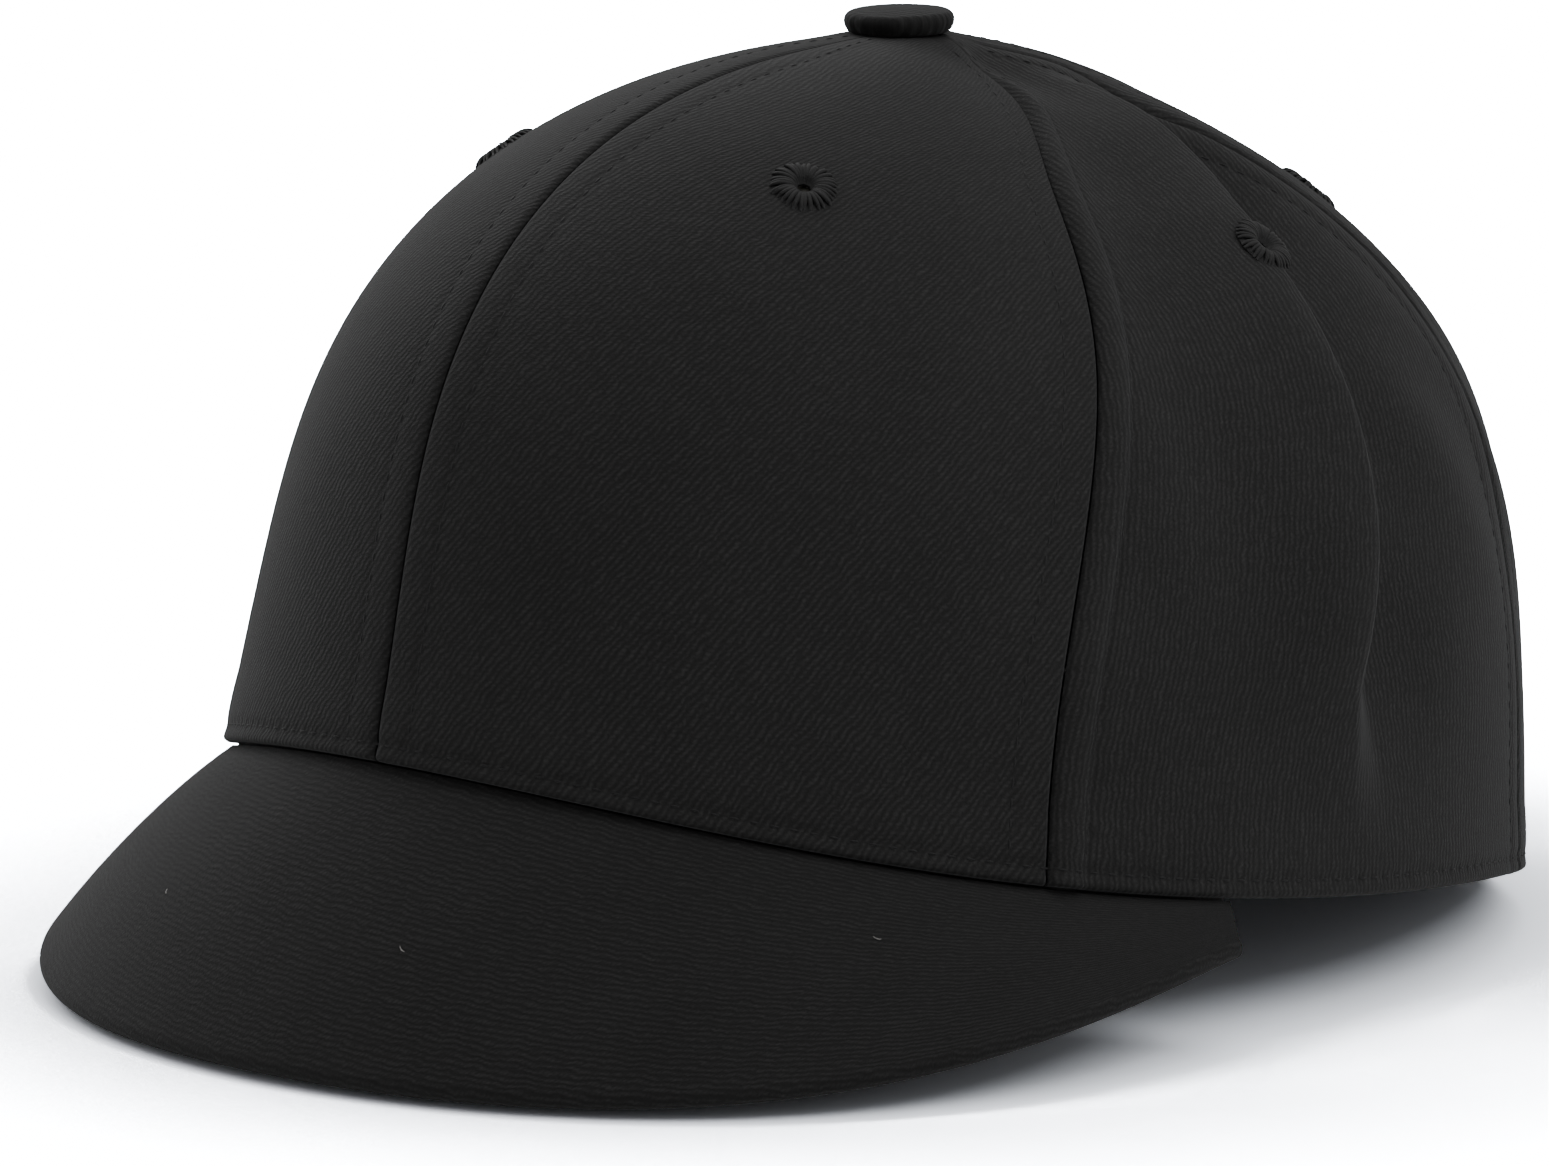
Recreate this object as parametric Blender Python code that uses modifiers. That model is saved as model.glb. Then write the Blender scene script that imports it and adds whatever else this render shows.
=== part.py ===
"""Short-peak bump cap: a six-panel fabric cap over a removable hard shell and foam insert.

Frame: metres, +Z up, the peak towards -Y, the wearer's left is +X. The cap stands on its peak's
front edge and on the back of its rim, as a cap does on a table.

The crown's outer skin is one formula, crown_point(theta, u). theta goes round the cap from the
front (0) over the wearer's left (90 degrees) to the back (180). u goes up from the rim (0) to the
apex (1). Every layer is a loft of that skin moved inwards, because no primitive has its shape.
"""

import math

import bmesh
import bpy
from mathutils import Matrix, Vector

# ---------------------------------------------------------------- driving dimensions, in metres
RIM_HALF_LENGTH = 0.108          # front to back, outer face of the rim
RIM_HALF_WIDTH = 0.0892          # side to side
RIM_WAVES = (0.0187, 0.0184, 0.0017, 0.0017)   # rim height: mean, tilt, saddle, front lift
REAR_DIP = (0.0069, 6)           # the rim drops this much more at the back; power of the cosine
APEX_HEIGHT = 0.136
APEX_SHIFT = 0.0081              # the apex lies this far behind the rim's centre
BELLY_SHIFT = 0.0089             # the crown's middle leans back this much more
HEIGHT_POWER = 0.504             # how fast a meridian rises: a boxy crown has a low power
ROUNDNESS = (1.512, 0.67, 0.447)     # superellipse exponent: mean, front-back part, saddle part
LEAN = (0.1227, 0.0617, -0.0877)     # share by which the wall leans in towards the apex
FRONT_SEAM_DEG = (62.0, 10.5, 19.0)  # front-side seam: angle at the rim, sweep back at half
                                 # height, and a further sweep near the button
REAR_SEAM_DEG = (126.0, 16.0, 0.0)   # rear-side seam, the same way
BUTTON_Y = 0.0033                # the button sits a little ahead of the highest point
HOLE_Y, HOLE_RADIUS = 0.0055, 0.0052         # the hole that the six panels leave under it

FABRIC = 0.0012
GAP = 0.0003                     # clearance between pieces that touch
BUCKRAM, BUCKRAM_GAP = 0.0008, 0.0010
LINING_INSET = 0.0036            # depth of the seam tapes' and sweatband's outer faces
TAPE, TAPE_WIDTH = 0.0006, 0.013
SWEATBAND, SWEATBAND_HEIGHT = 0.0022, 0.030
SHELL, FOAM = 0.0018, 0.0045
SHELL_INSET = (0.0076, 0.0007)   # mean, and how much less at the front and back than at the sides
SHELL_DROP = 0.0085              # the shell's top below the crown's apex
PAD_DEPTH = 0.008                # crown pad, from its top down to its level underside

VISOR_HALF_ANGLE = 79.7
VISOR_LENGTH, VISOR_END_LENGTH = 0.0399, 0.0079
VISOR_SLOPE = 40.5               # degrees below level, at the crown
VISOR_SPLAY = 0.993              # how far the peak's rulings fan out
VISOR_DROOP = 8.6                # extra curl downwards, per metre
VISOR_PLAN = (2.74, 1.12)        # exponents of the outline's taper from its middle to its ends
VISOR_COVER, VISOR_BOARD = 0.0007, 0.0014
VISOR_TUCK = 0.0010              # how far the peak's inner edge sits under the crown

EYELETS = {"front": (33.0, 0.720), "side": (108.0, 0.614), "rear": (157.0, 0.66)}
EYELET_RADIUS, EYELET_HOLE, EYELET_HEIGHT = 0.0050, 0.0013, 0.0011
BUTTON_RADIUS, BUTTON_HEIGHT, BUTTON_FLAT = 0.0083, 0.0036, 0.0038

ARCH_HALF_WIDTH, ARCH_HEIGHT = 0.0375, 0.0495
BINDING = 0.0012
STRAP, STRAP_LOW, STRAP_HIGH = 0.0008, 0.0055, 0.0255
STRAP_DEPTH = 0.0019             # depth of the sewn strap's mid-line behind the crown's skin
BAR_RADIUS = 0.0012              # the loop's wire
BAR_INNER, BAR_OUTER = -0.0135, -0.0205      # the loop's two upright bars, along the rim
TAIL_START, TAIL_END = BAR_INNER + 0.0010, 0.0240
PEEL_LIFT = 0.00015              # the peel's axis lies this far outside the strap's outer face
PATCH = 0.0005

CAP = "bump_cap"
CUTTERS = "cutters"


# ---------------------------------------------------------------- scene helpers
def clear_scene():
    for old in list(bpy.data.objects):
        bpy.data.objects.remove(old)


def collection(name):
    made = bpy.data.collections.new(name)
    bpy.context.scene.collection.children.link(made)
    return made


def material(name, colour, roughness, metallic=0.0):
    made = bpy.data.materials.new(name)
    made.use_nodes = True
    shader = made.node_tree.nodes["Principled BSDF"]
    shader.inputs["Base Color"].default_value = (*colour, 1.0)
    shader.inputs["Roughness"].default_value = roughness
    shader.inputs["Metallic"].default_value = metallic
    return made


def add_object(name, mesh, look, into):
    made = bpy.data.objects.new(name, mesh)
    into.objects.link(made)
    if look is not None:
        made.data.materials.append(look)
    return made


def smooth(obj, angle=35.0):
    obj.data.shade_smooth()
    obj.data.set_sharp_from_angle(angle=math.radians(angle))


def grid_object(name, rows, look, into, thickness=None, closed=False):
    """A surface through rows of points. With a thickness it becomes a shell that grows away
    from its front; closed joins the last column to the first."""
    mesh = bpy.data.meshes.new(name)
    count = len(rows[0])
    points = [tuple(p) for row in rows for p in row]
    last = count if closed else count - 1
    faces = []
    for r in range(len(rows) - 1):
        for c in range(last):
            d = (c + 1) % count
            faces.append((r * count + c, r * count + d, (r + 1) * count + d, (r + 1) * count + c))
    mesh.from_pydata(points, [], faces)
    made = add_object(name, mesh, look, into)
    if thickness:
        shell = made.modifiers.new("thickness", "SOLIDIFY")
        shell.thickness = thickness
        shell.offset = -1.0
        shell.use_even_offset = True
    smooth(made)
    return made


def cut(obj, cutter):
    made = obj.modifiers.new("cut_" + cutter.name, "BOOLEAN")
    made.operation = "DIFFERENCE"
    made.solver = "EXACT"
    made.object = cutter


def cylinder(name, radius, depth, into, look=None, segments=16, placed=Matrix.Identity(4)):
    mesh = bpy.data.meshes.new(name)
    shape = bmesh.new()
    bmesh.ops.create_cone(shape, cap_ends=True, segments=segments, radius1=radius,
                          radius2=radius, depth=depth, matrix=placed)
    shape.to_mesh(mesh)
    shape.free()
    return add_object(name, mesh, look, into)


def cutter(name, radius, depth, into, placed, segments=16):
    made = cylinder(name, radius, depth, into, None, segments, placed)
    made.hide_render = True
    made.display_type = "WIRE"
    return made


# ---------------------------------------------------------------- the crown's skin
def waves(theta, terms):
    return sum(k * math.cos(i * theta) for i, k in enumerate(terms))


def rim_height(theta):
    dip, power = REAR_DIP
    return waves(theta, RIM_WAVES) - dip * max(0.0, -math.cos(theta)) ** power


def crown_point(theta, u, inset=0.0, drop=0.0):
    """A point on the crown. inset narrows the whole oval and drop lowers the apex."""
    rise = math.pi / 2 * min(u, 0.9999) ** 2
    height = math.sin(rise) ** HEIGHT_POWER
    spread = math.cos(rise) ** (2 / waves(theta, ROUNDNESS)) * (1 - waves(theta, LEAN) * height)
    back = APEX_SHIFT * height ** 2 + BELLY_SHIFT * height * (1 - height)
    low = rim_height(theta)
    return Vector(((RIM_HALF_WIDTH - inset) * math.sin(theta) * spread,
                   back - (RIM_HALF_LENGTH - inset) * math.cos(theta) * spread,
                   low + (APEX_HEIGHT - drop - low) * height))


def crown_normal(theta, u):
    step = 0.002
    u = min(max(u, step), 1 - 2 * step)
    along = crown_point(theta + step, u) - crown_point(theta - step, u)
    upward = crown_point(theta, u + step) - crown_point(theta, u - step)
    return along.cross(upward).normalized()


def inside(theta, u, depth):
    return crown_point(theta, u) - crown_normal(theta, u) * depth


def u_at_height(theta, z, drop=0.0):
    """The u at which the meridian theta passes the height z."""
    low = rim_height(theta)
    share = max(0.0, (z - low) / (APEX_HEIGHT - drop - low))
    return math.sqrt(math.asin(share ** (1 / HEIGHT_POWER)) * 2 / math.pi)


def u_above_rim(theta, height):
    return u_at_height(theta, rim_height(theta) + height)


def u_at_radius(theta, radius):
    """The u at which the meridian theta comes within radius of the top hole's middle, seen from above."""
    centre = Vector((0, HOLE_Y))
    low, high = 0.3, 0.9999
    for _ in range(40):
        middle = (low + high) / 2
        if (crown_point(theta, middle).xy - centre).length > radius:
            low = middle
        else:
            high = middle
    return low


def pole_radius(theta, u):
    """The distance from the point where the meridians meet, seen from above."""
    return (crown_point(theta, u).xy - Vector((0, APEX_SHIFT))).length


def seam_angle(which, u):
    """Where a seam runs at height u. The two side seams sweep back halfway up."""
    if which == "front":
        return 0.0
    if which == "rear":
        return math.pi
    rim, sweep, late = FRONT_SEAM_DEG if which == "front_side" else REAR_SEAM_DEG
    late *= math.exp(-((u - 0.86) / 0.09) ** 2)
    return math.radians(rim + sweep * math.sin(math.pi * u * u) + late)


def rows_between(first, second, side, low, top_radius, columns, steps, depth, margin):
    """Rows of points between two seams, on one side of the cap, margin metres clear of both."""
    rows = []
    for r in range(steps + 1):
        row = []
        for c in range(columns + 1):
            share = c / columns
            u = 0.5
            for _ in range(3):          # the seams' angles depend on u, and the top's u on them
                a, b = seam_angle(first, u), seam_angle(second, u)
                theta = a + (b - a) * share
                bottom = u_above_rim(theta, low)
                u = bottom + (u_at_radius(theta, top_radius) - bottom) * r / steps
            clear = margin / max(pole_radius(theta, u), 0.001)
            theta = a + clear + (b - a - 2 * clear) * share
            row.append(inside(theta * side, u, depth))
        rows.append(row if side > 0 else row[::-1])
    return rows


# ---------------------------------------------------------------- crown pieces
def build_panels(looks, cap, cutters):
    panels = {}
    for name, first, second in (("front", "front", "front_side"),
                                ("side", "front_side", "rear_side"),
                                ("rear", "rear_side", "rear")):
        for side, hand in ((1, "left"), (-1, "right")):
            rows = rows_between(first, second, side, 0.0, HOLE_RADIUS, 8, 12, 0.0, GAP)
            panels[name, hand] = grid_object(f"{name}_panel_{hand}", rows, looks["twill"], cap,
                                             FABRIC)
    arch = rear_arch_cutter(cutters)
    for hand in ("left", "right"):
        cut(panels["rear", hand], arch)
    return panels


def rear_arch_cutter(cutters):
    """A half-oval opening low in the back of the crown."""
    size = Matrix.Diagonal((ARCH_HALF_WIDTH, ARCH_HEIGHT, 1.0, 1.0))
    turned = Matrix.Rotation(math.pi / 2, 4, "X")
    placed = Matrix.Translation((0, RIM_HALF_LENGTH, rim_height(math.pi))) @ turned @ size
    return cutter("rear_arch", 1.0, 0.06, cutters, placed, 40)


def build_buckram(looks, cap):
    for side, hand in ((1, "left"), (-1, "right")):
        rows = rows_between("front", "front_side", side, 0.0, 0.018, 8, 12, FABRIC + BUCKRAM_GAP,
                            0.004)
        grid_object(f"front_buckram_{hand}", rows, looks["buckram"], cap, BUCKRAM)


def build_tapes(looks, cap):
    """A flat tape over the inside of each seam, from the sweatband up to the button's plate."""
    seams = [("front", 1, "seam_tape_front"), ("rear", 1, "seam_tape_rear")]
    for which in ("front_side", "rear_side"):
        seams += [(which, 1, f"seam_tape_{which}_left"), (which, -1, f"seam_tape_{which}_right")]
    steps = 9
    for which, side, name in seams:
        rows = []
        start = 0.049 if which == "rear" else SWEATBAND_HEIGHT + 0.002
        for r in range(steps + 1):
            theta = seam_angle(which, 0.3)
            for _ in range(3):
                low = u_above_rim(theta, start)
                u = low + (u_at_radius(theta, 0.021) - low) * r / steps
                theta = seam_angle(which, u)
            half = TAPE_WIDTH / 2 / max(pole_radius(theta, u), 0.009)
            angles = [theta * side + k * half for k in (-1, 0, 1)]
            rows.append([inside(a, u, LINING_INSET) for a in angles])
        grid_object(name, rows, looks["tape"], cap, TAPE)


def build_sweatband(looks, cap):
    """A band round the inside of the rim. It stops on each side of the rear opening."""
    end = math.pi - math.radians(26.5)
    columns = 36
    rows = []
    for height in (0.0015, 0.011, 0.0205, SWEATBAND_HEIGHT):
        angles = [-end + 2 * end * c / columns for c in range(columns + 1)]
        rows.append([inside(a, u_above_rim(a, height), LINING_INSET) for a in angles])
    return grid_object("sweatband", rows, looks["sweatband"], cap, SWEATBAND)


def surface_frame(theta, u):
    """Place and turn of something that lies on the skin: its Z is the outward normal."""
    normal = crown_normal(theta, u)
    turn = normal.to_track_quat("Z", "Y").to_matrix().to_4x4()
    return Matrix.Translation(crown_point(theta, u)) @ turn


def build_eyelets(looks, cap, cutters, panels):
    """A stitched ring round a small hole in each panel."""
    ring = (EYELET_RADIUS + EYELET_HOLE) / 2
    tube = (EYELET_RADIUS - EYELET_HOLE) / 2
    for name, (angle, u) in EYELETS.items():
        for side, hand in ((1, "left"), (-1, "right")):
            theta = math.radians(angle) * side
            place = surface_frame(theta, u)
            hole = cutter(f"eyelet_hole_{name}_{hand}", EYELET_HOLE, 0.012, cutters, place, 10)
            cut(panels[name, hand], hole)
            if name == "front":
                cut(bpy.data.objects[f"front_buckram_{hand}"], hole)
            bpy.ops.mesh.primitive_torus_add(major_radius=ring, minor_radius=tube,
                                             major_segments=16, minor_segments=6)
            made = bpy.context.object
            made.name = made.data.name = f"eyelet_{name}_{hand}"
            made.data.transform(Matrix.Diagonal((1, 1, EYELET_HEIGHT / (2 * tube), 1)))
            made.matrix_world = place @ Matrix.Translation((0, 0, 2 * GAP + EYELET_HEIGHT / 2))
            made.data.materials.append(looks["thread"])
            smooth(made, 60)
            for old in made.users_collection:
                old.objects.unlink(made)
            cap.objects.link(made)


def turned(name, profile, look, into, steps=24):
    """A turned solid. The profile is (radius, height) points down its outer side."""
    mesh = bpy.data.meshes.new(name)
    mesh.from_pydata([(r, 0, z) for r, z in profile], [(i, i + 1) for i in range(len(profile) - 1)],
                     [])
    made = add_object(name, mesh, look, into)
    spin = made.modifiers.new("turn", "SCREW")
    spin.steps = spin.render_steps = steps
    spin.use_merge_vertices = True
    spin.merge_threshold = 0.00001
    smooth(made, 30)
    return made


def build_button(looks, cap):
    """A domed, cloth-covered button, and the plate inside whose prongs hold it."""
    rim = 0.0011                    # radius of the button's rolled edge
    profile = [(0.0, BUTTON_HEIGHT), (BUTTON_FLAT, BUTTON_HEIGHT)]
    shoulder = BUTTON_RADIUS - rim
    profile.append(((BUTTON_FLAT + shoulder) / 2, BUTTON_HEIGHT - 0.0003))
    profile += [(shoulder + rim * math.sin(a), BUTTON_HEIGHT - 0.0009 - rim + rim * math.cos(a))
                for a in (math.radians(d) for d in (0, 35, 70, 110, 150))]
    profile += [(BUTTON_RADIUS - 0.0012, 0.0), (0.0, 0.0)]
    button = turned("top_button", profile, looks["twill"], cap)
    button.location = (0, BUTTON_Y, APEX_HEIGHT + GAP)
    plate_top = -FABRIC - 0.0034
    rivet = turned("button_rivet", [(0.0, 0.0), (0.001, 0.0), (0.001, plate_top),
                                    (0.0078, plate_top), (0.0078, plate_top - 0.001),
                                    (0.0, plate_top - 0.001)], looks["steel"], cap, 16)
    rivet.location = (0, BUTTON_Y, APEX_HEIGHT)


# ---------------------------------------------------------------- peak
def visor_point(theta, share):
    """The peak's upper face: share 0 at the crown, 1 at its outer edge."""
    slope = math.radians(VISOR_SLOPE)
    t = min(1.0, abs(theta) / math.radians(VISOR_HALF_ANGLE))
    taper = max(0.0, 1 - t ** VISOR_PLAN[0]) ** VISOR_PLAN[1]
    run = (VISOR_END_LENGTH + (VISOR_LENGTH - VISOR_END_LENGTH) * taper) * share
    out = Vector((VISOR_SPLAY * math.sin(theta), -math.cos(slope), -math.sin(slope)))
    narrow = 1 - VISOR_TUCK / RIM_HALF_WIDTH
    start = Vector((RIM_HALF_WIDTH * narrow * math.sin(theta),
                    -RIM_HALF_LENGTH * narrow * math.cos(theta),
                    rim_height(theta) - 2 * GAP))
    return start + out.normalized() * run - Vector((0, 0, VISOR_DROOP * run * run))


def visor_layer_point(theta, share, depth):
    step = 0.01
    low, high = max(share - step, 0), min(share + step, 1)
    along = visor_point(theta + step, share) - visor_point(theta - step, share)
    outward = visor_point(theta, high) - visor_point(theta, low)
    return visor_point(theta, share) - outward.cross(along).normalized() * depth


def build_visor(looks, cap):
    """Two fabric covers with a stiff board between them."""
    columns, steps = 20, 5
    half = math.radians(VISOR_HALF_ANGLE) * 0.995
    board_depth = VISOR_COVER + GAP
    under_depth = board_depth + VISOR_BOARD + GAP
    for name, depth, thickness, look, edge in (
            ("visor_top_cover", 0.0, VISOR_COVER, "twill", 1.0),
            ("visor_board", board_depth, VISOR_BOARD, "board", 0.97),
            ("visor_under_cover", under_depth, VISOR_COVER, "twill", 1.0)):
        rows = []
        for r in range(steps + 1):
            angles = [-half * edge + 2 * half * edge * c / columns for c in range(columns + 1)]
            rows.append([visor_layer_point(a, r / steps * edge, depth) for a in angles])
        grid_object(name, rows[::-1], looks[look], cap, thickness)


# ---------------------------------------------------------------- rear opening and its strap
def rear_theta(arc):
    """The rim angle that lies arc metres from the back, + towards the wearer's left."""
    steps = 40
    theta = math.pi
    for _ in range(steps):
        speed = math.hypot(RIM_HALF_WIDTH * math.cos(theta), RIM_HALF_LENGTH * math.sin(theta))
        theta -= arc / steps / speed
    return theta


def rear_place(arc, z):
    """(point on the skin, direction towards the wearer's left, outward direction)."""
    theta = rear_theta(arc)
    point = crown_point(theta, u_at_height(theta, z))
    tangent = Vector((-RIM_HALF_WIDTH * math.cos(theta), -RIM_HALF_LENGTH * math.sin(theta), 0))
    tangent.normalize()
    return point, tangent, Vector((-tangent.y, tangent.x, 0))


def strip(name, path, thickness, look, into, low=STRAP_LOW, high=STRAP_HIGH):
    """A strap on edge. path is a list of functions of z that give its mid-line's points."""
    rows = [[point(z) for point in path] for z in (low, high)]
    made = grid_object(name, rows, look, into, thickness)
    made.modifiers["thickness"].offset = 0.0
    return made


def along_rim(start, end, out, count):
    """Mid-line points that follow the rim, out metres in front of the skin."""
    def at(arc):
        def point(z):
            place, _, outward = rear_place(arc, z)
            return place + outward * out
        return point
    return [at(start + (end - start) * i / count) for i in range(count + 1)]


def around_bar(arc, radius, first_deg, last_deg, count):
    """Mid-line points of a fold round an upright bar. 0 degrees points to the wearer's left."""
    def at(angle):
        def point(z):
            place, tangent, outward = rear_place(arc, z)
            return place + (tangent * math.cos(angle) + outward * math.sin(angle)) * radius
        return point
    return [at(math.radians(first_deg + (last_deg - first_deg) * i / count))
            for i in range(count + 1)]


def build_rear_binding(looks, cap):
    """The bound edge of the rear opening."""
    count = 24
    outer, inner = GAP, GAP + BINDING
    rows = []
    for shrink, out in ((outer, GAP), (inner, GAP), (inner, -FABRIC), (outer, -FABRIC),
                        (outer, GAP)):
        row = []
        for i in range(count + 1):
            angle = math.radians(6 + 168 * i / count)
            x = (ARCH_HALF_WIDTH - shrink) * math.cos(angle)
            z = rim_height(math.pi) + (ARCH_HEIGHT - shrink) * math.sin(angle)
            row.append(rear_surface(x, z) + Vector((0, out, 0)))
        rows.append(row)
    made = grid_object("rear_arch_binding", rows, looks["binding"], cap)
    close_tube(made.data)


def rear_surface(x, z):
    """The point of the back's skin at that x and z."""
    theta = math.pi - math.asin(x / RIM_HALF_WIDTH)
    for _ in range(30):
        u = u_at_height(theta, z)
        spread = crown_point(theta, u).x / math.sin(theta) if abs(x) > 1e-6 else RIM_HALF_WIDTH
        theta = math.pi - math.asin(max(-1, min(1, x / spread)))
    return crown_point(theta, u_at_height(theta, z))


def close_tube(mesh):
    """Welds a rolled-up grid and fills its two ends."""
    shape = bmesh.new()
    shape.from_mesh(mesh)
    bmesh.ops.remove_doubles(shape, verts=shape.verts, dist=0.00001)
    bmesh.ops.holes_fill(shape, edges=[e for e in shape.edges if e.is_boundary], sides=0)
    bmesh.ops.recalc_face_normals(shape, faces=shape.faces)
    shape.to_mesh(mesh)
    shape.free()


def build_strap(looks, cap):
    """A strap sewn inside the wearer's left goes through a loop on the right and folds back."""
    turn = BAR_RADIUS + GAP + STRAP / 2
    sewn = along_rim(0.0440, BAR_INNER + 0.0015, -STRAP_DEPTH, 16)
    fold = around_bar(BAR_INNER, turn, 270, 90, 6)
    strip("strap_sewn", sewn + fold, STRAP, looks["webbing"], cap)
    tab = along_rim(-0.0440, BAR_OUTER - 0.0015, -STRAP_DEPTH, 3)
    hug = around_bar(BAR_OUTER, turn, 270, 450, 6)
    strip("loop_tab", tab + hug, STRAP, looks["webbing"], cap)
    strip("loop_patch", along_rim(0.0240, -0.0075, -STRAP_DEPTH + STRAP / 2 + GAP + PATCH / 2, 8),
          PATCH, looks["loop_pile"], cap, STRAP_LOW + 0.001, STRAP_HIGH - 0.001)
    tail = strip("strap_tail", along_rim(TAIL_START, TAIL_END, turn, 10), STRAP,
                 looks["webbing"], cap)
    hooks = strip("hook_patch", along_rim(-0.0075, TAIL_END - 0.0005,
                                          turn - STRAP / 2 - GAP - PATCH / 2, 8),
                  PATCH, looks["hook_pile"], cap, STRAP_LOW + 0.001, STRAP_HIGH - 0.001)
    hinge = bpy.data.objects.new("strap_tail_peel", None)
    hinge.location = hinge_point()
    cap.objects.link(hinge)
    for piece in (tail, hooks):
        piece.parent = hinge
        piece.matrix_parent_inverse = Matrix.Translation(-hinge.location)
    build_loop(looks, cap)


def hinge_point():
    """A point of the line that the strap's tail peels about, between its start and the fold."""
    place, _, outward = rear_place((BAR_INNER + TAIL_START) / 2, (STRAP_LOW + STRAP_HIGH) / 2)
    return place + outward * (BAR_RADIUS + GAP + STRAP + PEEL_LIFT)


def hinge_axis():
    """The peel's axis leans with the back of the cap."""
    ends = [rear_place((BAR_INNER + TAIL_START) / 2, z)[0] for z in (STRAP_LOW, STRAP_HIGH)]
    return (ends[1] - ends[0]).normalized()


def build_loop(looks, cap):
    """A rectangle of wire round which the strap folds."""
    low, high = STRAP_LOW - 0.0018, STRAP_HIGH + 0.0018
    corner = 0.0006
    points = []
    for arc, z, d_arc, d_z in ((BAR_INNER, low, 1, -1), (BAR_INNER, high, 1, 1),
                               (BAR_OUTER, high, -1, 1), (BAR_OUTER, low, -1, -1)):
        ends = [(arc, z - d_z * corner), (arc - d_arc * corner, z)]
        if d_arc * d_z > 0:
            points += ends
        else:
            points += ends[::-1]
    wire = bpy.data.curves.new("strap_loop", "CURVE")
    wire.dimensions = "3D"
    line = wire.splines.new("POLY")
    line.points.add(len(points) - 1)
    for spot, (arc, z) in zip(line.points, points):
        spot.co = (*rear_place(arc, z)[0], 1.0)
    line.use_cyclic_u = True
    wire.bevel_depth = BAR_RADIUS
    wire.bevel_resolution = 2
    made = bpy.data.objects.new("strap_loop", wire)
    cap.objects.link(made)
    wire.materials.append(looks["moulding"])


# ---------------------------------------------------------------- protective insert
def shell_low(theta):
    """The insert's lower edge rises over the ears."""
    return 0.15 + 0.10 * math.sin(theta) ** 2


def insert_rows(inset, drop, lift, columns, steps):
    rows = []
    for r in range(steps + 1):
        row = []
        for c in range(columns):
            theta = 2 * math.pi * c / columns
            low = shell_low(theta) + lift
            u = low + (0.985 - low) * (r / steps) ** 0.9
            narrower = inset - SHELL_INSET[1] * math.cos(2 * theta)
            row.append(crown_point(theta, u, narrower, drop))
        rows.append(row)
    return rows


def dome(name, inset, drop, thickness, lift, look, into):
    """A closed dome: an outer and an inner skin, joined along the lower edge."""
    columns, steps = 30, 10
    inner = insert_rows(inset + thickness, drop + thickness, lift, columns, steps)
    outer = insert_rows(inset, drop, lift, columns, steps)
    made = grid_object(name, inner[::-1] + outer, look, into, None, True)
    shape = bmesh.new()
    shape.from_mesh(made.data)
    bmesh.ops.holes_fill(shape, edges=[e for e in shape.edges if e.is_boundary], sides=0)
    for cap_face in [f for f in shape.faces if len(f.verts) > 4]:
        bmesh.ops.poke(shape, faces=[cap_face])
    bmesh.ops.recalc_face_normals(shape, faces=shape.faces)
    shape.to_mesh(made.data)
    shape.free()
    smooth(made)
    return made


def build_crown_pad(looks, cap):
    """A softer pad under the foam's top. Its level underside bears on the head."""
    columns, steps = 24, 4
    inset = SHELL_INSET[0] + SHELL + FOAM + 3 * GAP
    drop = SHELL_DROP + SHELL + FOAM + 3 * GAP
    level = APEX_HEIGHT - drop - PAD_DEPTH
    rows = []
    for r in range(steps + 1):
        row = []
        for c in range(columns):
            theta = 2 * math.pi * c / columns
            low = u_at_height(theta, level, drop)
            u = low + (0.98 - low) * r / steps
            row.append(crown_point(theta, u, inset + 0.001, drop))
        rows.append(row)
    made = grid_object("crown_pad", rows, looks["pad"], cap, None, True)
    shape = bmesh.new()
    shape.from_mesh(made.data)
    bmesh.ops.holes_fill(shape, edges=[e for e in shape.edges if e.is_boundary], sides=0)
    bmesh.ops.recalc_face_normals(shape, faces=shape.faces)
    shape.to_mesh(made.data)
    shape.free()
    smooth(made)


def build_insert(looks, cap, cutters):
    """The hard shell and the foam inside it, with the same vent slots through both."""
    shell = dome("hard_shell", SHELL_INSET[0], SHELL_DROP, SHELL, 0.0, looks["abs"], cap)
    foam = dome("foam_liner", SHELL_INSET[0] + SHELL + 2 * GAP, SHELL_DROP + SHELL + 2 * GAP,
                FOAM, 0.012, looks["foam"], cap)
    build_crown_pad(looks, cap)
    slots = [(x, y) for x in (-0.026, 0.0, 0.026) for y in (-0.052, 0.040)]
    for number, (x, y) in enumerate(slots):
        size = Matrix.Diagonal((0.0042, 0.012, 1.0, 1.0))
        placed = Matrix.Translation((x, y, 0.115)) @ size
        slot = cutter(f"vent_slot_{number}", 1.0, 0.06, cutters, placed, 12)
        cut(shell, slot)
        cut(foam, slot)


# ---------------------------------------------------------------- assembly
def stand_on_floor(cap):
    """Moves the whole cap so that its box's bottom centre is at the origin."""
    root = bpy.data.objects.new("cap_origin", None)
    cap.objects.link(root)
    bpy.context.view_layer.update()
    graph = bpy.context.evaluated_depsgraph_get()
    corners = []
    for obj in cap.objects:
        if obj.type != "EMPTY":
            solid = obj.evaluated_get(graph)
            mesh = solid.to_mesh()
            corners += [solid.matrix_world @ v.co for v in mesh.vertices]
            solid.to_mesh_clear()
    low = [min(p[i] for p in corners) for i in range(3)]
    high = [max(p[i] for p in corners) for i in range(3)]
    for obj in list(cap.objects) + list(bpy.data.collections[CUTTERS].objects):
        if obj != root and obj.parent is None:
            obj.parent = root
    root.location = (-(low[0] + high[0]) / 2, -(low[1] + high[1]) / 2, -low[2])
    bpy.context.view_layer.update()
    hinge = bpy.data.objects["strap_tail_peel"].matrix_world.translation
    print("cap moved by", tuple(round(v, 5) for v in root.location), "box",
          [round(high[i] - low[i], 4) for i in range(3)], "hinge at", tuple(hinge), "axis",
          tuple(hinge_axis()))


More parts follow.
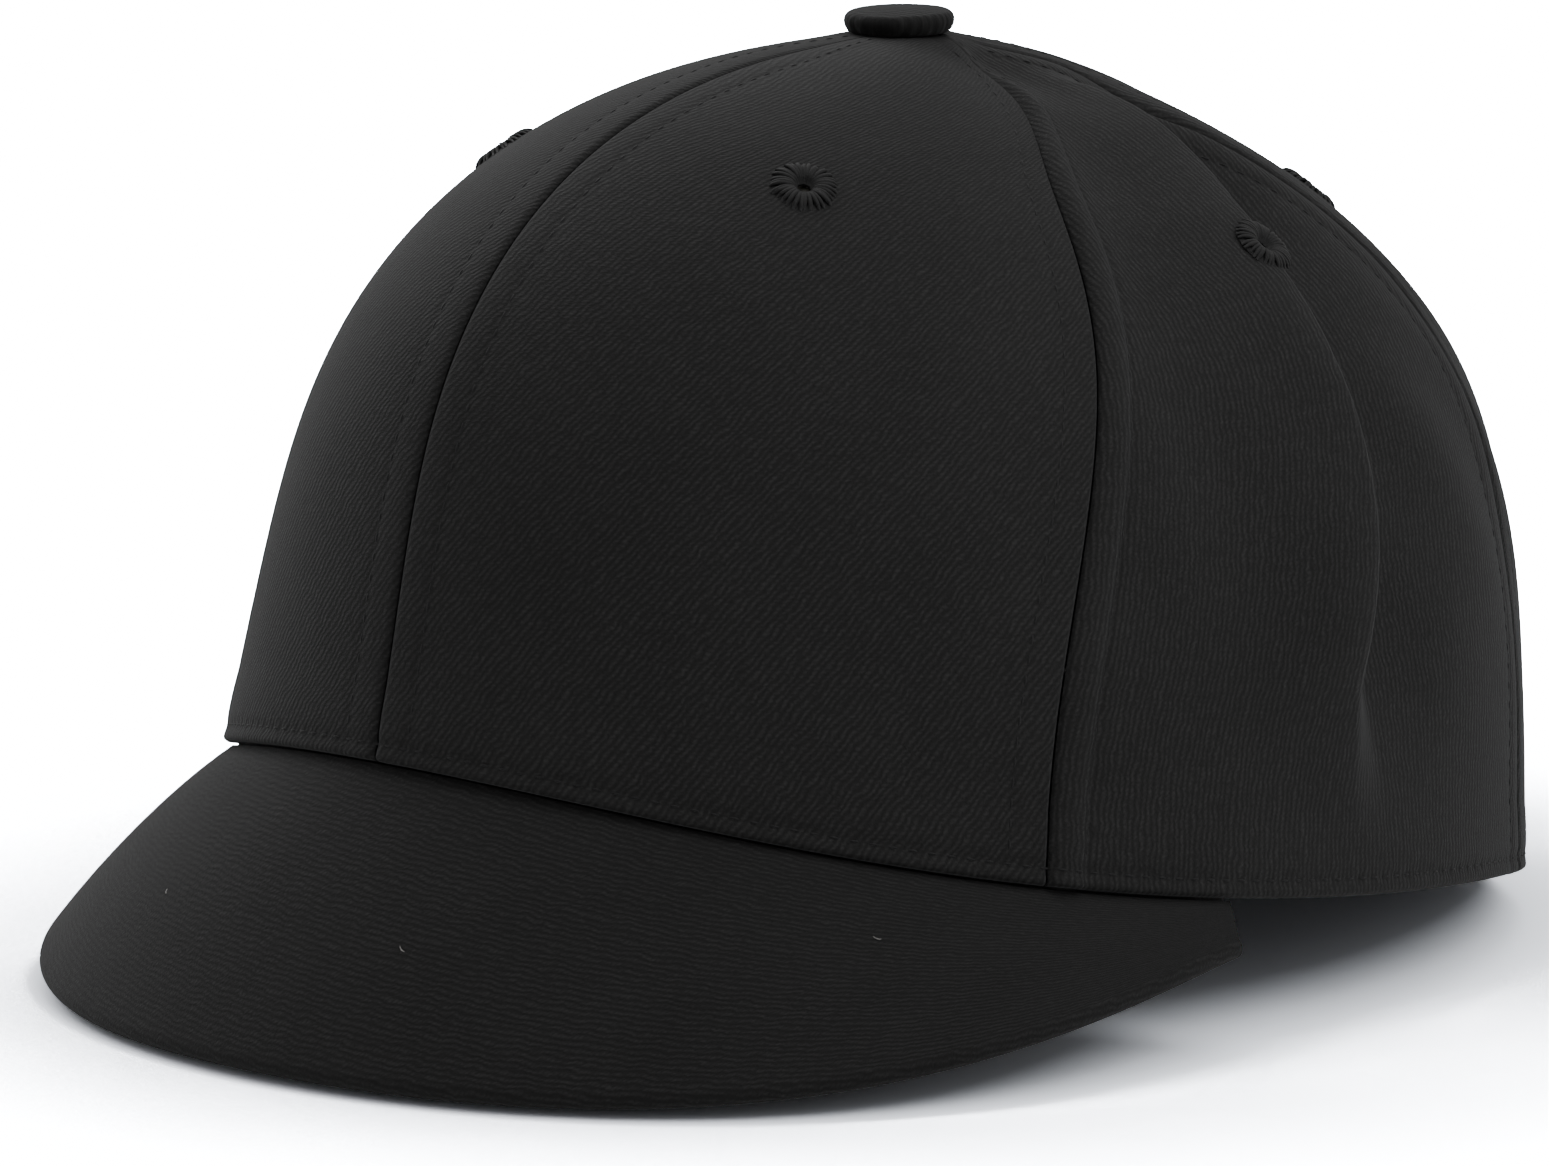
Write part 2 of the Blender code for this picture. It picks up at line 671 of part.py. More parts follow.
def main():
    clear_scene()
    cap, cutters = collection(CAP), collection(CUTTERS)
    looks = {
        "twill": material("black_twill", (0.014, 0.014, 0.015), 0.85),
        "buckram": material("buckram", (0.55, 0.54, 0.50), 0.9),
        "tape": material("seam_tape", (0.02, 0.02, 0.022), 0.8),
        "sweatband": material("sweatband_fabric", (0.018, 0.018, 0.02), 0.8),
        "thread": material("eyelet_thread", (0.016, 0.016, 0.017), 0.6),
        "steel": material("nickelled_steel", (0.6, 0.6, 0.6), 0.35, 1.0),
        "board": material("visor_board", (0.35, 0.36, 0.38), 0.6),
        "binding": material("binding_tape", (0.015, 0.015, 0.016), 0.75),
        "webbing": material("strap_fabric", (0.015, 0.015, 0.016), 0.85),
        "loop_pile": material("loop_pile", (0.02, 0.02, 0.02), 0.95),
        "hook_pile": material("hook_pile", (0.02, 0.02, 0.02), 0.6),
        "moulding": material("moulded_nylon", (0.02, 0.02, 0.02), 0.4),
        "abs": material("abs_shell", (0.06, 0.06, 0.065), 0.35),
        "foam": material("eva_foam", (0.05, 0.05, 0.055), 0.9),
        "pad": material("soft_pad", (0.10, 0.10, 0.11), 0.95),
    }
    panels = build_panels(looks, cap, cutters)
    build_buckram(looks, cap)
    build_tapes(looks, cap)
    build_sweatband(looks, cap)
    build_eyelets(looks, cap, cutters, panels)
    build_button(looks, cap)
    build_visor(looks, cap)
    build_rear_binding(looks, cap)
    build_strap(looks, cap)
    build_insert(looks, cap, cutters)
    stand_on_floor(cap)


main()
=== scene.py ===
"""Looks of a short-peak bump cap: black wool-blend twill over a hard shell and foam insert.

Every piece is built on one surface, the crown's skin: skin(theta, u). theta goes round the cap
from the front (0) over the wearer's left (90 degrees) to the back (180), and u goes up from the
rim (0) to the apex (1). The formula is the CAD part's own, apart from the rear side seams, which
lean further back near the top here. SHIFT puts it where the frame has the cap.
"""

import math
import random

import bmesh
import bpy
import numpy as np
from mathutils import Matrix, Vector


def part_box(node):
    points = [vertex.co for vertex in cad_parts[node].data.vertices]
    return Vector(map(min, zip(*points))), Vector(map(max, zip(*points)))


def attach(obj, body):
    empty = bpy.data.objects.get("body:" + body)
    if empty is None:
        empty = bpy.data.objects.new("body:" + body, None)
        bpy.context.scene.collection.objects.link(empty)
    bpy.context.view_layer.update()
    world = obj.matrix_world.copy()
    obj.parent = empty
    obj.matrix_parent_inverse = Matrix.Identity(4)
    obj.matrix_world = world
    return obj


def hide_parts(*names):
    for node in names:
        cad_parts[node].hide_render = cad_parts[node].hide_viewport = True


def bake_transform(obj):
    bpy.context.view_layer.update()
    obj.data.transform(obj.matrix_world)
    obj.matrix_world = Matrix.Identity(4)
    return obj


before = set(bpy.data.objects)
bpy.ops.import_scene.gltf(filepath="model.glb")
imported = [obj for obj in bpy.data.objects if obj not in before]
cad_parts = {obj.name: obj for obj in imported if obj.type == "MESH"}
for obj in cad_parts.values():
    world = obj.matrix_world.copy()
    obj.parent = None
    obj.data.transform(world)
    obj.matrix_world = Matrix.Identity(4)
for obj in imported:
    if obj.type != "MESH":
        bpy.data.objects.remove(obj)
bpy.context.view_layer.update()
RANDOM = random.Random(7)

# ---------------------------------------------------------------- dimensions, in metres
RIM_HALF_LENGTH, RIM_HALF_WIDTH = 0.108, 0.0892
RIM_WAVES = (0.0187, 0.0184, 0.0017, 0.0017)
REAR_DIP = (0.0069, 6)
APEX_HEIGHT, APEX_SHIFT, BELLY_SHIFT = 0.136, 0.0081, 0.0089
HEIGHT_POWER = 0.504
ROUNDNESS = (1.512, 0.67, 0.447)
LEAN = (0.1227, 0.0617, -0.0877)
FRONT_SEAM_DEG, REAR_SEAM_DEG = (62.0, 10.5, 19.0), (126.0, 16.0, 14.0)
BUTTON_Y, HOLE_Y, HOLE_RADIUS = 0.0033, 0.0055, 0.0052
GAP = 0.0003
FABRIC, BUCKRAM = 0.0012, 0.0008
BUCKRAM_DEPTH, LINING_DEPTH = 0.0022, 0.0036
TAPE, TAPE_WIDTH = 0.0006, 0.013
SWEATBAND, SWEATBAND_HEIGHT = 0.0022, 0.030
SHELL, FOAM, SHELL_INSET, SHELL_DROP = 0.0018, 0.0045, (0.0076, 0.0007), 0.0085
VISOR_HALF_ANGLE, VISOR_SLOPE, VISOR_SPLAY, VISOR_DROOP = 79.7, 40.5, 0.993, 8.6
VISOR_LENGTH, VISOR_END_LENGTH, VISOR_PLAN = 0.0399, 0.0079, (2.74, 1.12)
VISOR_TUCK, VISOR_THICKNESS = 0.0010, 0.0034
EYELETS = {"front": (33.0, 0.720), "side": (103.8, 0.602), "rear": (157.0, 0.66)}
EYELET_RADIUS, EYELET_HOLE, EYELET_STITCHES = 0.0051, 0.0013, 34
BUTTON_RADIUS, BUTTON_HEIGHT = 0.0083, 0.0036
ARCH_HALF_WIDTH, ARCH_HEIGHT = 0.0375, 0.0495
STRAP, STRAP_LOW, STRAP_HIGH, STRAP_DEPTH = 0.0008, 0.0055, 0.0255, 0.0019
BAR_RADIUS, BAR_INNER, BAR_OUTER = 0.0012, -0.0135, -0.0205
TAIL_START, TAIL_END, PATCH = -0.0125, 0.0240, 0.0005

WORLD, BACKGROUND = 0.36, 24.0    # the studio's ambient light, and what the camera sees of it
FLOOR_GAIN, FLOOR_IN_PAINTED_SHADOW = 36.0, 2.0    # the floor's colour to the camera: where it lies open, and in the deep painted shadow close round the cap
FLOOR_REACH = 0.16                # how far from the cap the painted shadow on the floor reaches, before the floor counts as open
TOPSTITCH = 0.0062               # distance of the topstitching from its seam
RIM_STITCH = 0.0025              # height of the topstitching above the rim
STITCH_PITCH = 0.0029            # from one stitch to the next
SEAM_LENGTH = 0.145              # of a crown seam, from rim to button
RIM_RADIUS = 0.098               # mean radius of the rim
CROWN_RADIUS = 0.085             # mean radius of the crown's curve
QUILT_LEVEL = 0.0080             # height of the sweatband's lower row of stitches
THREAD_RADIUS, FINE_THREAD_RADIUS = 0.0002, 0.00018
TUBE_SIDES = 6

low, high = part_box("top_button")
SHIFT = np.array([(low.x + high.x) / 2, (low.y + high.y) / 2 - BUTTON_Y,
                  low.z - APEX_HEIGHT - GAP])


# ---------------------------------------------------------------- the skin
def waves(theta, terms):
    return sum(k * np.cos(i * theta) for i, k in enumerate(terms))


def rim_height(theta):
    dip, power = REAR_DIP
    return waves(theta, RIM_WAVES) - dip * np.maximum(0.0, -np.cos(theta)) ** power


def base(theta, u, inset=0.0, drop=0.0):
    theta, u = np.broadcast_arrays(np.asarray(theta, float), np.asarray(u, float))
    rise = math.pi / 2 * np.clip(u, 0.0, 0.9999) ** 2
    height = np.sin(rise) ** HEIGHT_POWER
    spread = np.cos(rise) ** (2 / waves(theta, ROUNDNESS)) * (1 - waves(theta, LEAN) * height)
    back = APEX_SHIFT * height ** 2 + BELLY_SHIFT * height * (1 - height)
    bottom = rim_height(theta)
    return np.stack([(RIM_HALF_WIDTH - inset) * np.sin(theta) * spread,
                     back - (RIM_HALF_LENGTH - inset) * np.cos(theta) * spread,
                     bottom + (APEX_HEIGHT - drop - bottom) * height], -1)


def unit(vectors):
    return vectors / np.maximum(np.linalg.norm(vectors, axis=-1, keepdims=True), 1e-12)


def directions(theta, u, surface=base, step=0.002):
    """Unit vectors round, up and out of a surface."""
    u = np.clip(u, step, 1 - 2 * step)
    along = surface(theta + step, u) - surface(theta - step, u)
    upward = surface(theta, u + step) - surface(theta, u - step)
    return unit(along), unit(upward), unit(np.cross(along, upward))


def radius_at(theta, u):
    """Metres of cloth per radian."""
    step = 0.002
    return np.linalg.norm(base(theta + step, u) - base(theta - step, u), axis=-1) / (2 * step)


def u_at_height(theta, z, drop=0.0):
    bottom = rim_height(theta)
    share = np.clip((z - bottom) / (APEX_HEIGHT - drop - bottom), 0.0, 0.9999)
    return np.sqrt(np.arcsin(share ** (1 / HEIGHT_POWER)) * 2 / math.pi)


def u_above_rim(theta, height):
    return u_at_height(theta, rim_height(theta) + height)


def u_at_radius(theta, radius):
    theta = np.asarray(theta, float)
    below, above = np.full(theta.shape, 0.3), np.full(theta.shape, 0.9999)
    for _ in range(30):
        middle = (below + above) / 2
        p = base(theta, middle)
        outside = np.hypot(p[..., 0], p[..., 1] - HOLE_Y) > radius
        below, above = np.where(outside, middle, below), np.where(outside, above, middle)
    return below


def seam_angle(which, u):
    if which in ("front", "rear"):
        return np.full(np.shape(u), 0.0 if which == "front" else math.pi)
    start, sweep, late = FRONT_SEAM_DEG if which == "front_side" else REAR_SEAM_DEG
    late = late * np.exp(-((np.asarray(u) - 0.86) / 0.09) ** 2)
    return np.radians(start + sweep * np.sin(math.pi * np.asarray(u) ** 2) + late)


def smoothstep(x, start, end):
    t = np.clip((x - start) / (end - start), 0.0, 1.0)
    return t * t * (3 - 2 * t)


def hump(x, centre, before, after):
    width = np.where(x < centre, before, after)
    return np.exp(-((x - centre) / width) ** 2)


def puff(distance, rise):
    """Seam allowance under the cloth: raised between the seam and its topstitching."""
    t = np.clip(distance / TOPSTITCH, 0.0, 1.0)
    return rise * np.sin(math.pi * t) ** 0.8 * (distance > 0)


def stitch_pull(along):
    """How hard each stitch of a row pulls at the cloth, from 0.6 to 1."""
    return 0.8 + 0.2 * np.cos(2 * math.pi * along / STITCH_PITCH)


def stitched(distance, along, depth):
    """The dent that a row of topstitching pulls into the cloth beside a seam."""
    return -depth * stitch_pull(along) * np.exp(-((distance - TOPSTITCH) / 0.0008) ** 2)


# The line of the deep fold behind each side panel's middle: (angle in degrees, u).
FOLD_LINE = ((94.0, 0.00), (94.5, 0.20), (99.5, 0.36), (102.5, 0.50), (105.0, 0.574),
             (110.5, 0.648), (121.0, 0.736), (131.0, 0.80), (138.0, 0.90))


def relief(theta, u):
    """How far the cloth stands out of the plain crown."""
    theta, u = np.broadcast_arrays(np.asarray(theta, float), np.asarray(u, float))
    around = np.abs(theta)
    left = theta > 0
    radius = radius_at(theta, u)
    along = u * SEAM_LENGTH
    free = smoothstep(radius, 0.008, 0.035)     # everything fades out at the button
    out = np.zeros(theta.shape)

    out += seam_relief(around * radius, along, 0.00012, 0.00008, 0.0005, 0.0006) * free
    back = (around - seam_angle("rear_side", u)) * radius
    out += seam_relief(back, along, 0.00025, 0.00012, 0.0006, 0.0007) * free
    out += seam_relief((math.pi - around) * radius, along, 0.00035, 0.00018, 0.0008, 0.0008) * free
    out += front_side_relief(around, u, radius, along) * free
    out += fold_relief(around, u, radius, left)
    out += drape_relief(theta, u, left, free)

    place = base(theta, u)
    from_button = np.hypot(place[..., 0], place[..., 1] - BUTTON_Y)
    out += 0.92 * (APEX_HEIGHT - place[..., 2]) * np.exp(-(from_button / 0.0095) ** 4)

    height = place[..., 2] - rim_height(theta)
    out -= 0.0003 * stitch_pull(theta * RIM_RADIUS) * np.exp(-((height - RIM_STITCH) / 0.0009) ** 2)
    out += 0.0002 * (1 - smoothstep(height, 0.006, 0.012))
    roll = 0.0009
    out -= roll - np.sqrt(np.maximum(roll ** 2 - np.clip(roll - height, 0.0, roll) ** 2, 0.0))
    return out


def seam_relief(distance, along, rise, dent, groove, width):
    """A seam pressed open: allowance and topstitching on both sides of a narrow groove."""
    out = -groove * np.exp(-(distance / width) ** 2)
    for way in (distance, -distance):
        out += puff(way, rise) + stitched(way, along, dent)
    return out


def front_side_relief(around, u, radius, along):
    """The seam behind the front panel: a thick welt on the soft side, thicker higher up."""
    side = (around - seam_angle("front_side", u)) * radius
    high = smoothstep(u, 0.45, 0.85)
    out = puff(side, 0.00080 + 0.0006 * high) + stitched(side, along, 0.00025)
    out += puff(-side, 0.00008) + stitched(-side, along, 0.00007)
    out -= (0.0005 + 0.0006 * high) * hump(side, 0.0001, 0.0006, 0.0006 + 0.0006 * high)
    return out - 0.0008 * high * hump(side, 0.0105, 0.004, 0.008)


def fold_relief(around, u, radius, left):
    """The deep soft fold of a side panel: a round crest, and a valley behind it."""
    crest, valley = 0.0054, 0.0056
    bend = np.interp(u, [p[1] for p in FOLD_LINE], [p[0] for p in FOLD_LINE])
    bend = bend + np.where(left, 0.0, 3.0 * np.sin(7 * u))
    fold = (around - np.radians(bend)) * radius
    reach = smoothstep(u, 0.03, 0.34) * (1 - smoothstep(u, 0.72, 0.86))
    reach = reach * np.where(left, 1.0, 0.7)
    behind = 0.0170 - 0.0095 * smoothstep(u, 0.58, 0.76)
    return reach * (crest * hump(fold, -0.0025, 0.017, 0.0040)
                    - valley * hump(fold, 0.0080, 0.0046, behind))


def drape_relief(theta, u, left, free):
    """Slow waves and small creases in the unlined panels, and faint ones in the stiff front."""
    around = np.abs(theta)
    soft = smoothstep(around, math.radians(60), math.radians(85))
    phase = np.where(left, 0.0, 1.3)
    drape = np.sin(5.1 * around + 2.2 * u + phase) * np.sin(4.4 * u + 2.0 * around + phase)
    drape = drape * smoothstep(u, 0.0, 0.2) * (1 - smoothstep(u, 0.8, 0.95))
    creases = np.sin(23 * around + 9 * u + phase) * smoothstep(u, 0.1, 0.4)
    creases = creases * (1 - smoothstep(u, 0.45, 0.62))
    faint = np.sin(9 * u + 4 * theta + 0.6) * np.sin(3.3 * theta - 5 * u) * free
    return soft * (0.0006 * drape + 0.00025 * creases) + 0.00022 * faint * (1 - soft)


def skin(theta, u, out=0.0):
    """The cloth's outer face, or a layer out metres in front of it."""
    theta, u = np.broadcast_arrays(np.asarray(theta, float), np.asarray(u, float))
    normal = directions(theta, u)[2]
    return base(theta, u) + normal * (relief(theta, u) + out)[..., None]


# ---------------------------------------------------------------- mesh helpers
def new_mesh(name, verts, faces, look, uv=None):
    """A mesh from arrays: verts (n, 3) in the skin's frame, faces (m, 3 or 4), uv in metres."""
    mesh = bpy.data.meshes.new(name)
    verts = np.asarray(verts, float).reshape(-1, 3) + SHIFT
    faces = np.asarray(faces, np.int64)
    count, sides = faces.shape
    mesh.vertices.add(len(verts))
    mesh.vertices.foreach_set("co", verts.ravel())
    mesh.loops.add(count * sides)
    mesh.loops.foreach_set("vertex_index", faces.ravel())
    mesh.polygons.add(count)
    mesh.polygons.foreach_set("loop_start", np.arange(0, count * sides, sides))
    mesh.update(calc_edges=True)
    if uv is not None:
        layer = mesh.uv_layers.new(name="cloth")
        layer.data.foreach_set("uv", np.asarray(uv, float).reshape(-1, 2)[faces.ravel()].ravel())
    mesh.polygons.foreach_set("use_smooth", np.ones(count, bool))
    made = bpy.data.objects.new(name, mesh)
    bpy.context.scene.collection.objects.link(made)
    made.data.materials.append(look)
    return made


def grid_faces(rows, columns, closed=False):
    r, c = np.meshgrid(np.arange(rows - 1), np.arange(columns if closed else columns - 1),
                       indexing="ij")
    d = (c + 1) % columns
    quads = np.stack([r * columns + c, r * columns + d, (r + 1) * columns + d,
                      (r + 1) * columns + c], -1)
    return quads.reshape(-1, 4)


def lengths_uv(points):
    """Flat coordinates of a grid of points, measured along the cloth, in metres."""
    across = np.linalg.norm(np.diff(points, axis=1), axis=-1)
    x = np.concatenate([np.zeros((len(points), 1)), np.cumsum(across, 1)], 1)
    x = x - x[:, x.shape[1] // 2][:, None]
    middle = points[:, points.shape[1] // 2]
    up = np.linalg.norm(np.diff(middle, axis=0), axis=-1)
    y = np.concatenate([[0.0], np.cumsum(up)])[:, None] + np.zeros_like(x)
    return np.stack([x, y], -1)


def thicken(obj, thickness, offset=-1.0):
    solid = obj.modifiers.new("thickness", "SOLIDIFY")
    solid.thickness = thickness
    solid.offset = offset


def sheet_piece(name, points, look, thickness=0.0, offset=-1.0, bevel=0.0):
    """A grid of points as cloth, with a thickness behind it (-1) or to both sides (0)."""
    made = new_mesh(name, points, grid_faces(*points.shape[:2]), look, lengths_uv(points))
    if thickness:
        thicken(made, thickness, offset)
    if bevel:
        edge = made.modifiers.new("edge", "BEVEL")
        edge.width = bevel
        edge.segments = 3
        edge.limit_method = "ANGLE"
        edge.angle_limit = math.radians(50)
    return made


def tubes(name, paths, radius, look, normals=None, flat=1.0):
    """Many short threads as one mesh. Each path is (n, 3), and its ends are narrow and closed."""
    verts, faces = [], []
    start = 0
    for number, path in enumerate(paths):
        path = np.asarray(path, float)
        n = len(path)
        forward = unit(np.gradient(path, axis=0))
        out = np.array([0.0, 0.0, 1.0]) if normals is None else np.asarray(normals[number])
        across = unit(np.cross(forward, out))
        up = unit(np.cross(across, forward))
        size = radius * np.sin(np.linspace(0.12, math.pi - 0.12, n)) ** 0.35
        turn = np.linspace(0, 2 * math.pi, TUBE_SIDES, endpoint=False)
        ring = (across[:, None] * np.cos(turn)[None, :, None]
                + up[:, None] * np.sin(turn)[None, :, None] * flat)
        verts.append((path[:, None] + ring * size[:, None, None]).reshape(-1, 3))
        faces.append(grid_faces(n, TUBE_SIDES, True) + start)
        half = np.arange(4)
        other_half = np.array([3, 4, 5, 0])
        last = start + (n - 1) * TUBE_SIDES
        faces.append(np.stack([start + half, last + half[::-1], start + other_half,
                               last + other_half[::-1]]))
        start += n * TUBE_SIDES
    return new_mesh(name, np.concatenate(verts), np.concatenate(faces), look)


def stitch_row(line, normals, length=0.0021, gap=0.0008, lift=0.00012, sink=0.00035):
    """Stitches along a dense line of points. Each rises out of the cloth and goes back in."""
    steps = np.concatenate([[0.0], np.cumsum(np.linalg.norm(np.diff(line, axis=0), axis=-1))])
    total = steps[-1]
    count = max(1, int(total / (length + gap)))
    made, outs = [], []
    for k in range(count):
        first = (k + 0.15) * total / count
        spots = first + length * np.linspace(0, 1, 6)
        p = np.stack([np.interp(spots, steps, line[:, i]) for i in range(3)], -1)
        n = unit(np.stack([np.interp(spots, steps, normals[:, i]) for i in range(3)], -1))
        arch = np.sin(np.linspace(0, math.pi, 6)) ** 0.5 * (lift + sink) - sink
        made.append(p + n * arch[:, None])
        outs.append(n)
    return made, outs


class Sewing:
    """Rows of stitches, gathered and then made as one piece."""

    def __init__(self):
        self.paths, self.normals = [], []

    def row(self, line, normals, *sizes):
        paths, outs = stitch_row(line, normals, *sizes)
        self.paths.extend(paths)
        self.normals.extend(outs)

    def sew(self, name, radius, body):
        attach(tubes(name, self.paths, radius, LOOK["thread"], self.normals), body)


def stand_in(obj, body, node):
    """A piece that takes a CAD node's place and moves with a body."""
    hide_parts(node)
    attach(obj, body)


def vertices(mesh):
    """Its points, as an (n, 3) array."""
    places = np.zeros(len(mesh.vertices) * 3)
    mesh.vertices.foreach_get("co", places)
    return places.reshape(-1, 3)


def shade_smooth(mesh):
    mesh.polygons.foreach_set("use_smooth", np.ones(len(mesh.polygons), bool))


def apply_modifiers(obj):
    graph = bpy.context.evaluated_depsgraph_get()
    mesh = bpy.data.meshes.new_from_object(obj.evaluated_get(graph))
    obj.modifiers.clear()
    obj.data = mesh


# ---------------------------------------------------------------- materials
class Nodes:
    """Short names for the few kinds of node that the materials use."""

    def __init__(self, name):
        self.material = bpy.data.materials.new(name)
        self.material.use_nodes = True
        self.tree = self.material.node_tree
        self.shader = self.tree.nodes["Principled BSDF"]

    def add(self, kind, **values):
        node = self.tree.nodes.new(kind)
        for key, value in values.items():
            setattr(node, key, value)
        return node

    def feed(self, socket, value):
        if isinstance(value, bpy.types.NodeSocket):
            self.tree.links.new(value, socket)
        else:
            socket.default_value = value

    def math(self, operation, a, b=0.0, c=0.0):
        node = self.add("ShaderNodeMath", operation=operation)
        for socket, value in zip(node.inputs, (a, b, c)):
            self.feed(socket, value)
        return node.outputs[0]

    def noise(self, vector, scale, detail=2.0, roughness=0.5):
        node = self.add("ShaderNodeTexNoise")
        self.feed(node.inputs["Vector"], vector)
        node.inputs["Scale"].default_value = scale
        node.inputs["Detail"].default_value = detail
        node.inputs["Roughness"].default_value = roughness
        return node.outputs["Fac"]

    def ramp(self, value, stops):
        node = self.add("ShaderNodeValToRGB")
        self.feed(node.inputs[0], value)
        edge = node.color_ramp.elements
        while len(edge) < len(stops):
            edge.new(0.5)
        for spot, (place, colour) in zip(edge, stops):
            spot.position = place
            spot.color = (*colour, 1.0)
        return node.outputs[0]

    def remap(self, value, low, high):
        node = self.add("ShaderNodeMapRange")
        self.feed(node.inputs["Value"], value)
        node.inputs["To Min"].default_value = low
        node.inputs["To Max"].default_value = high
        return node.outputs[0]

    def bump(self, height, distance, strength=1.0, under=None):
        node = self.add("ShaderNodeBump")
        node.inputs["Strength"].default_value = strength
        node.inputs["Distance"].default_value = distance
        self.feed(node.inputs["Height"], height)
        if under is not None:
            self.feed(node.inputs["Normal"], under)
        return node.outputs["Normal"]

    def set(self, **values):
        for key, value in values.items():
            self.feed(self.shader.inputs[key.replace("_", " ")], value)
        return self.material


def shade(colour, factor):
    return tuple(c * factor for c in colour)


def twill(name, colour, angle, pitch=0.00100, relief_depth=0.00021, painted_light_contrast=1.7, sheen=0.06):
    """Wool-blend twill. Wales run at the angle, in degrees from level, over the cloth's flat
    coordinates; each wale is a row of slanted yarn floats, and short fibres blur them."""
    n = Nodes(name)
    cloth = n.add("ShaderNodeUVMap", uv_map="cloth").outputs[0]
    turned = n.add("ShaderNodeVectorRotate", rotation_type="Z_AXIS")
    n.feed(turned.inputs["Vector"], cloth)
    turned.inputs["Angle"].default_value = -math.radians(angle)
    parts = n.add("ShaderNodeSeparateXYZ")
    n.feed(parts.inputs[0], turned.outputs[0])
    along, across = parts.outputs[0], parts.outputs[1]
    drift = n.math("MULTIPLY_ADD", n.noise(cloth, 320.0, 3.0), 0.0017, -0.00085)
    across = n.math("ADD", across, drift)
    wale = n.math("SINE", n.math("MULTIPLY", across, 2 * math.pi / pitch))
    wale = n.math("MULTIPLY_ADD", wale, 0.5, 0.5)
    float_length = 0.00078
    slant = n.math("MULTIPLY_ADD", across, 2 * math.pi / (pitch * 0.9),
                   n.math("MULTIPLY", along, 2 * math.pi / float_length))
    yarn = n.math("MULTIPLY_ADD", n.math("SINE", slant), 0.5, 0.5)
    fibre = n.noise(cloth, 1900.0, 4.0, 0.7)
    broken = n.noise(cloth, 620.0, 2.0, 0.6)
    floats = n.math("MULTIPLY", wale, n.math("MULTIPLY_ADD", yarn, 0.35, 0.65))
    floats = n.math("MULTIPLY", floats, n.math("MULTIPLY_ADD", broken, 1.9, -0.1))
    height = n.math("MULTIPLY_ADD", fibre, 1.25, n.math("MULTIPLY", floats, 0.6))
    height_unit = n.math("MULTIPLY", height, 0.62)
    cloudy = n.noise(cloth, 42.0, 3.0, 0.6)
    # The cloth's tone follows the height of its weave: darker between the floats, painted shade, and
    # lighter on the floats and fibres, painted highlight. Only the cloudy part is the cloth's own uneven
    # tone.
    tone = n.math("MULTIPLY_ADD", cloudy, 0.22, n.math("MULTIPLY_ADD", height_unit, 1.0, -0.11))
    tint = n.ramp(tone, [(0.12, shade(colour, 1 - 0.45 * painted_light_contrast)), (0.5, colour),
                         (0.85, shade(colour, 1 + 0.75 * painted_light_contrast))])
    soft = n.bump(n.noise(cloth, 150.0, 2.0), 0.0003, 0.35)
    normal = n.bump(height_unit, relief_depth, 1.0, soft)
    n.set(Specular_IOR_Level=0.22, Sheen_Weight=sheen, Sheen_Roughness=0.45,
          Sheen_Tint=(0.75, 0.77, 0.80, 1.0))
    return n.set(Base_Color=tint, Roughness=n.remap(fibre, 0.78, 0.98), Normal=normal)


def plain_weave(name, colour, pitch, depth, rough=0.9, sheen=0.1, open_weave=0.0):
    """A plain weave: warp and weft cross over each other."""
    n = Nodes(name)
    cloth = n.add("ShaderNodeUVMap", uv_map="cloth").outputs[0]
    parts = n.add("ShaderNodeSeparateXYZ")
    n.feed(parts.inputs[0], cloth)
    wobble = n.math("MULTIPLY_ADD", n.noise(cloth, 500.0), 0.0004, -0.0002)
    x = n.math("SINE", n.math("MULTIPLY", n.math("ADD", parts.outputs[0], wobble), math.pi / pitch))
    y = n.math("SINE", n.math("MULTIPLY", n.math("ADD", parts.outputs[1], wobble), math.pi / pitch))
    over = n.math("MULTIPLY", x, y)
    warp = n.math("MULTIPLY", n.math("ABSOLUTE", x), n.math("MULTIPLY_ADD", over, 0.35, 0.65))
    weft = n.math("MULTIPLY", n.math("ABSOLUTE", y), n.math("MULTIPLY_ADD", over, -0.35, 0.65))
    height = n.math("MAXIMUM", warp, weft)
    fuzz = n.noise(cloth, 2400.0, 3.0, 0.7)
    height = n.math("MULTIPLY_ADD", fuzz, 0.35, height)
    # The tone is the weave's height: darker where the yarns dip, painted shade, and lighter where they
    # cross over, painted highlight.
    tone = n.math("MULTIPLY", height, 0.8)
    dark = shade(colour, 0.35 - 0.3 * open_weave)
    tint = n.ramp(tone, [(0.15 + 0.2 * open_weave, dark), (0.55, colour), (0.95, shade(colour, 1.4))])
    n.set(Specular_IOR_Level=0.25, Sheen_Weight=sheen)
    return n.set(Base_Color=tint, Roughness=n.remap(fuzz, rough - 0.1, min(1.0, rough + 0.08)),
                 Normal=n.bump(tone, depth))


def thread(name, colour):
    """Twisted sewing thread: a slight gloss and a fine slanted twist."""
    n = Nodes(name)
    place = n.add("ShaderNodeTexCoord").outputs["Object"]
    twist = n.noise(place, 4200.0, 2.0, 0.6)
    broad = n.noise(place, 700.0, 1.0)
    # The tone follows the twist's height: darker in its grooves, painted shade, and lighter on its
    # ridges, painted highlight.
    tint = n.ramp(twist, [(0.3, shade(colour, 0.6)), (0.7, shade(colour, 1.5))])
    n.set(Specular_IOR_Level=0.22, Sheen_Weight=0.05)
    return n.set(Base_Color=tint, Roughness=n.remap(broad, 0.6, 0.82),
                 Normal=n.bump(twist, 0.00006))


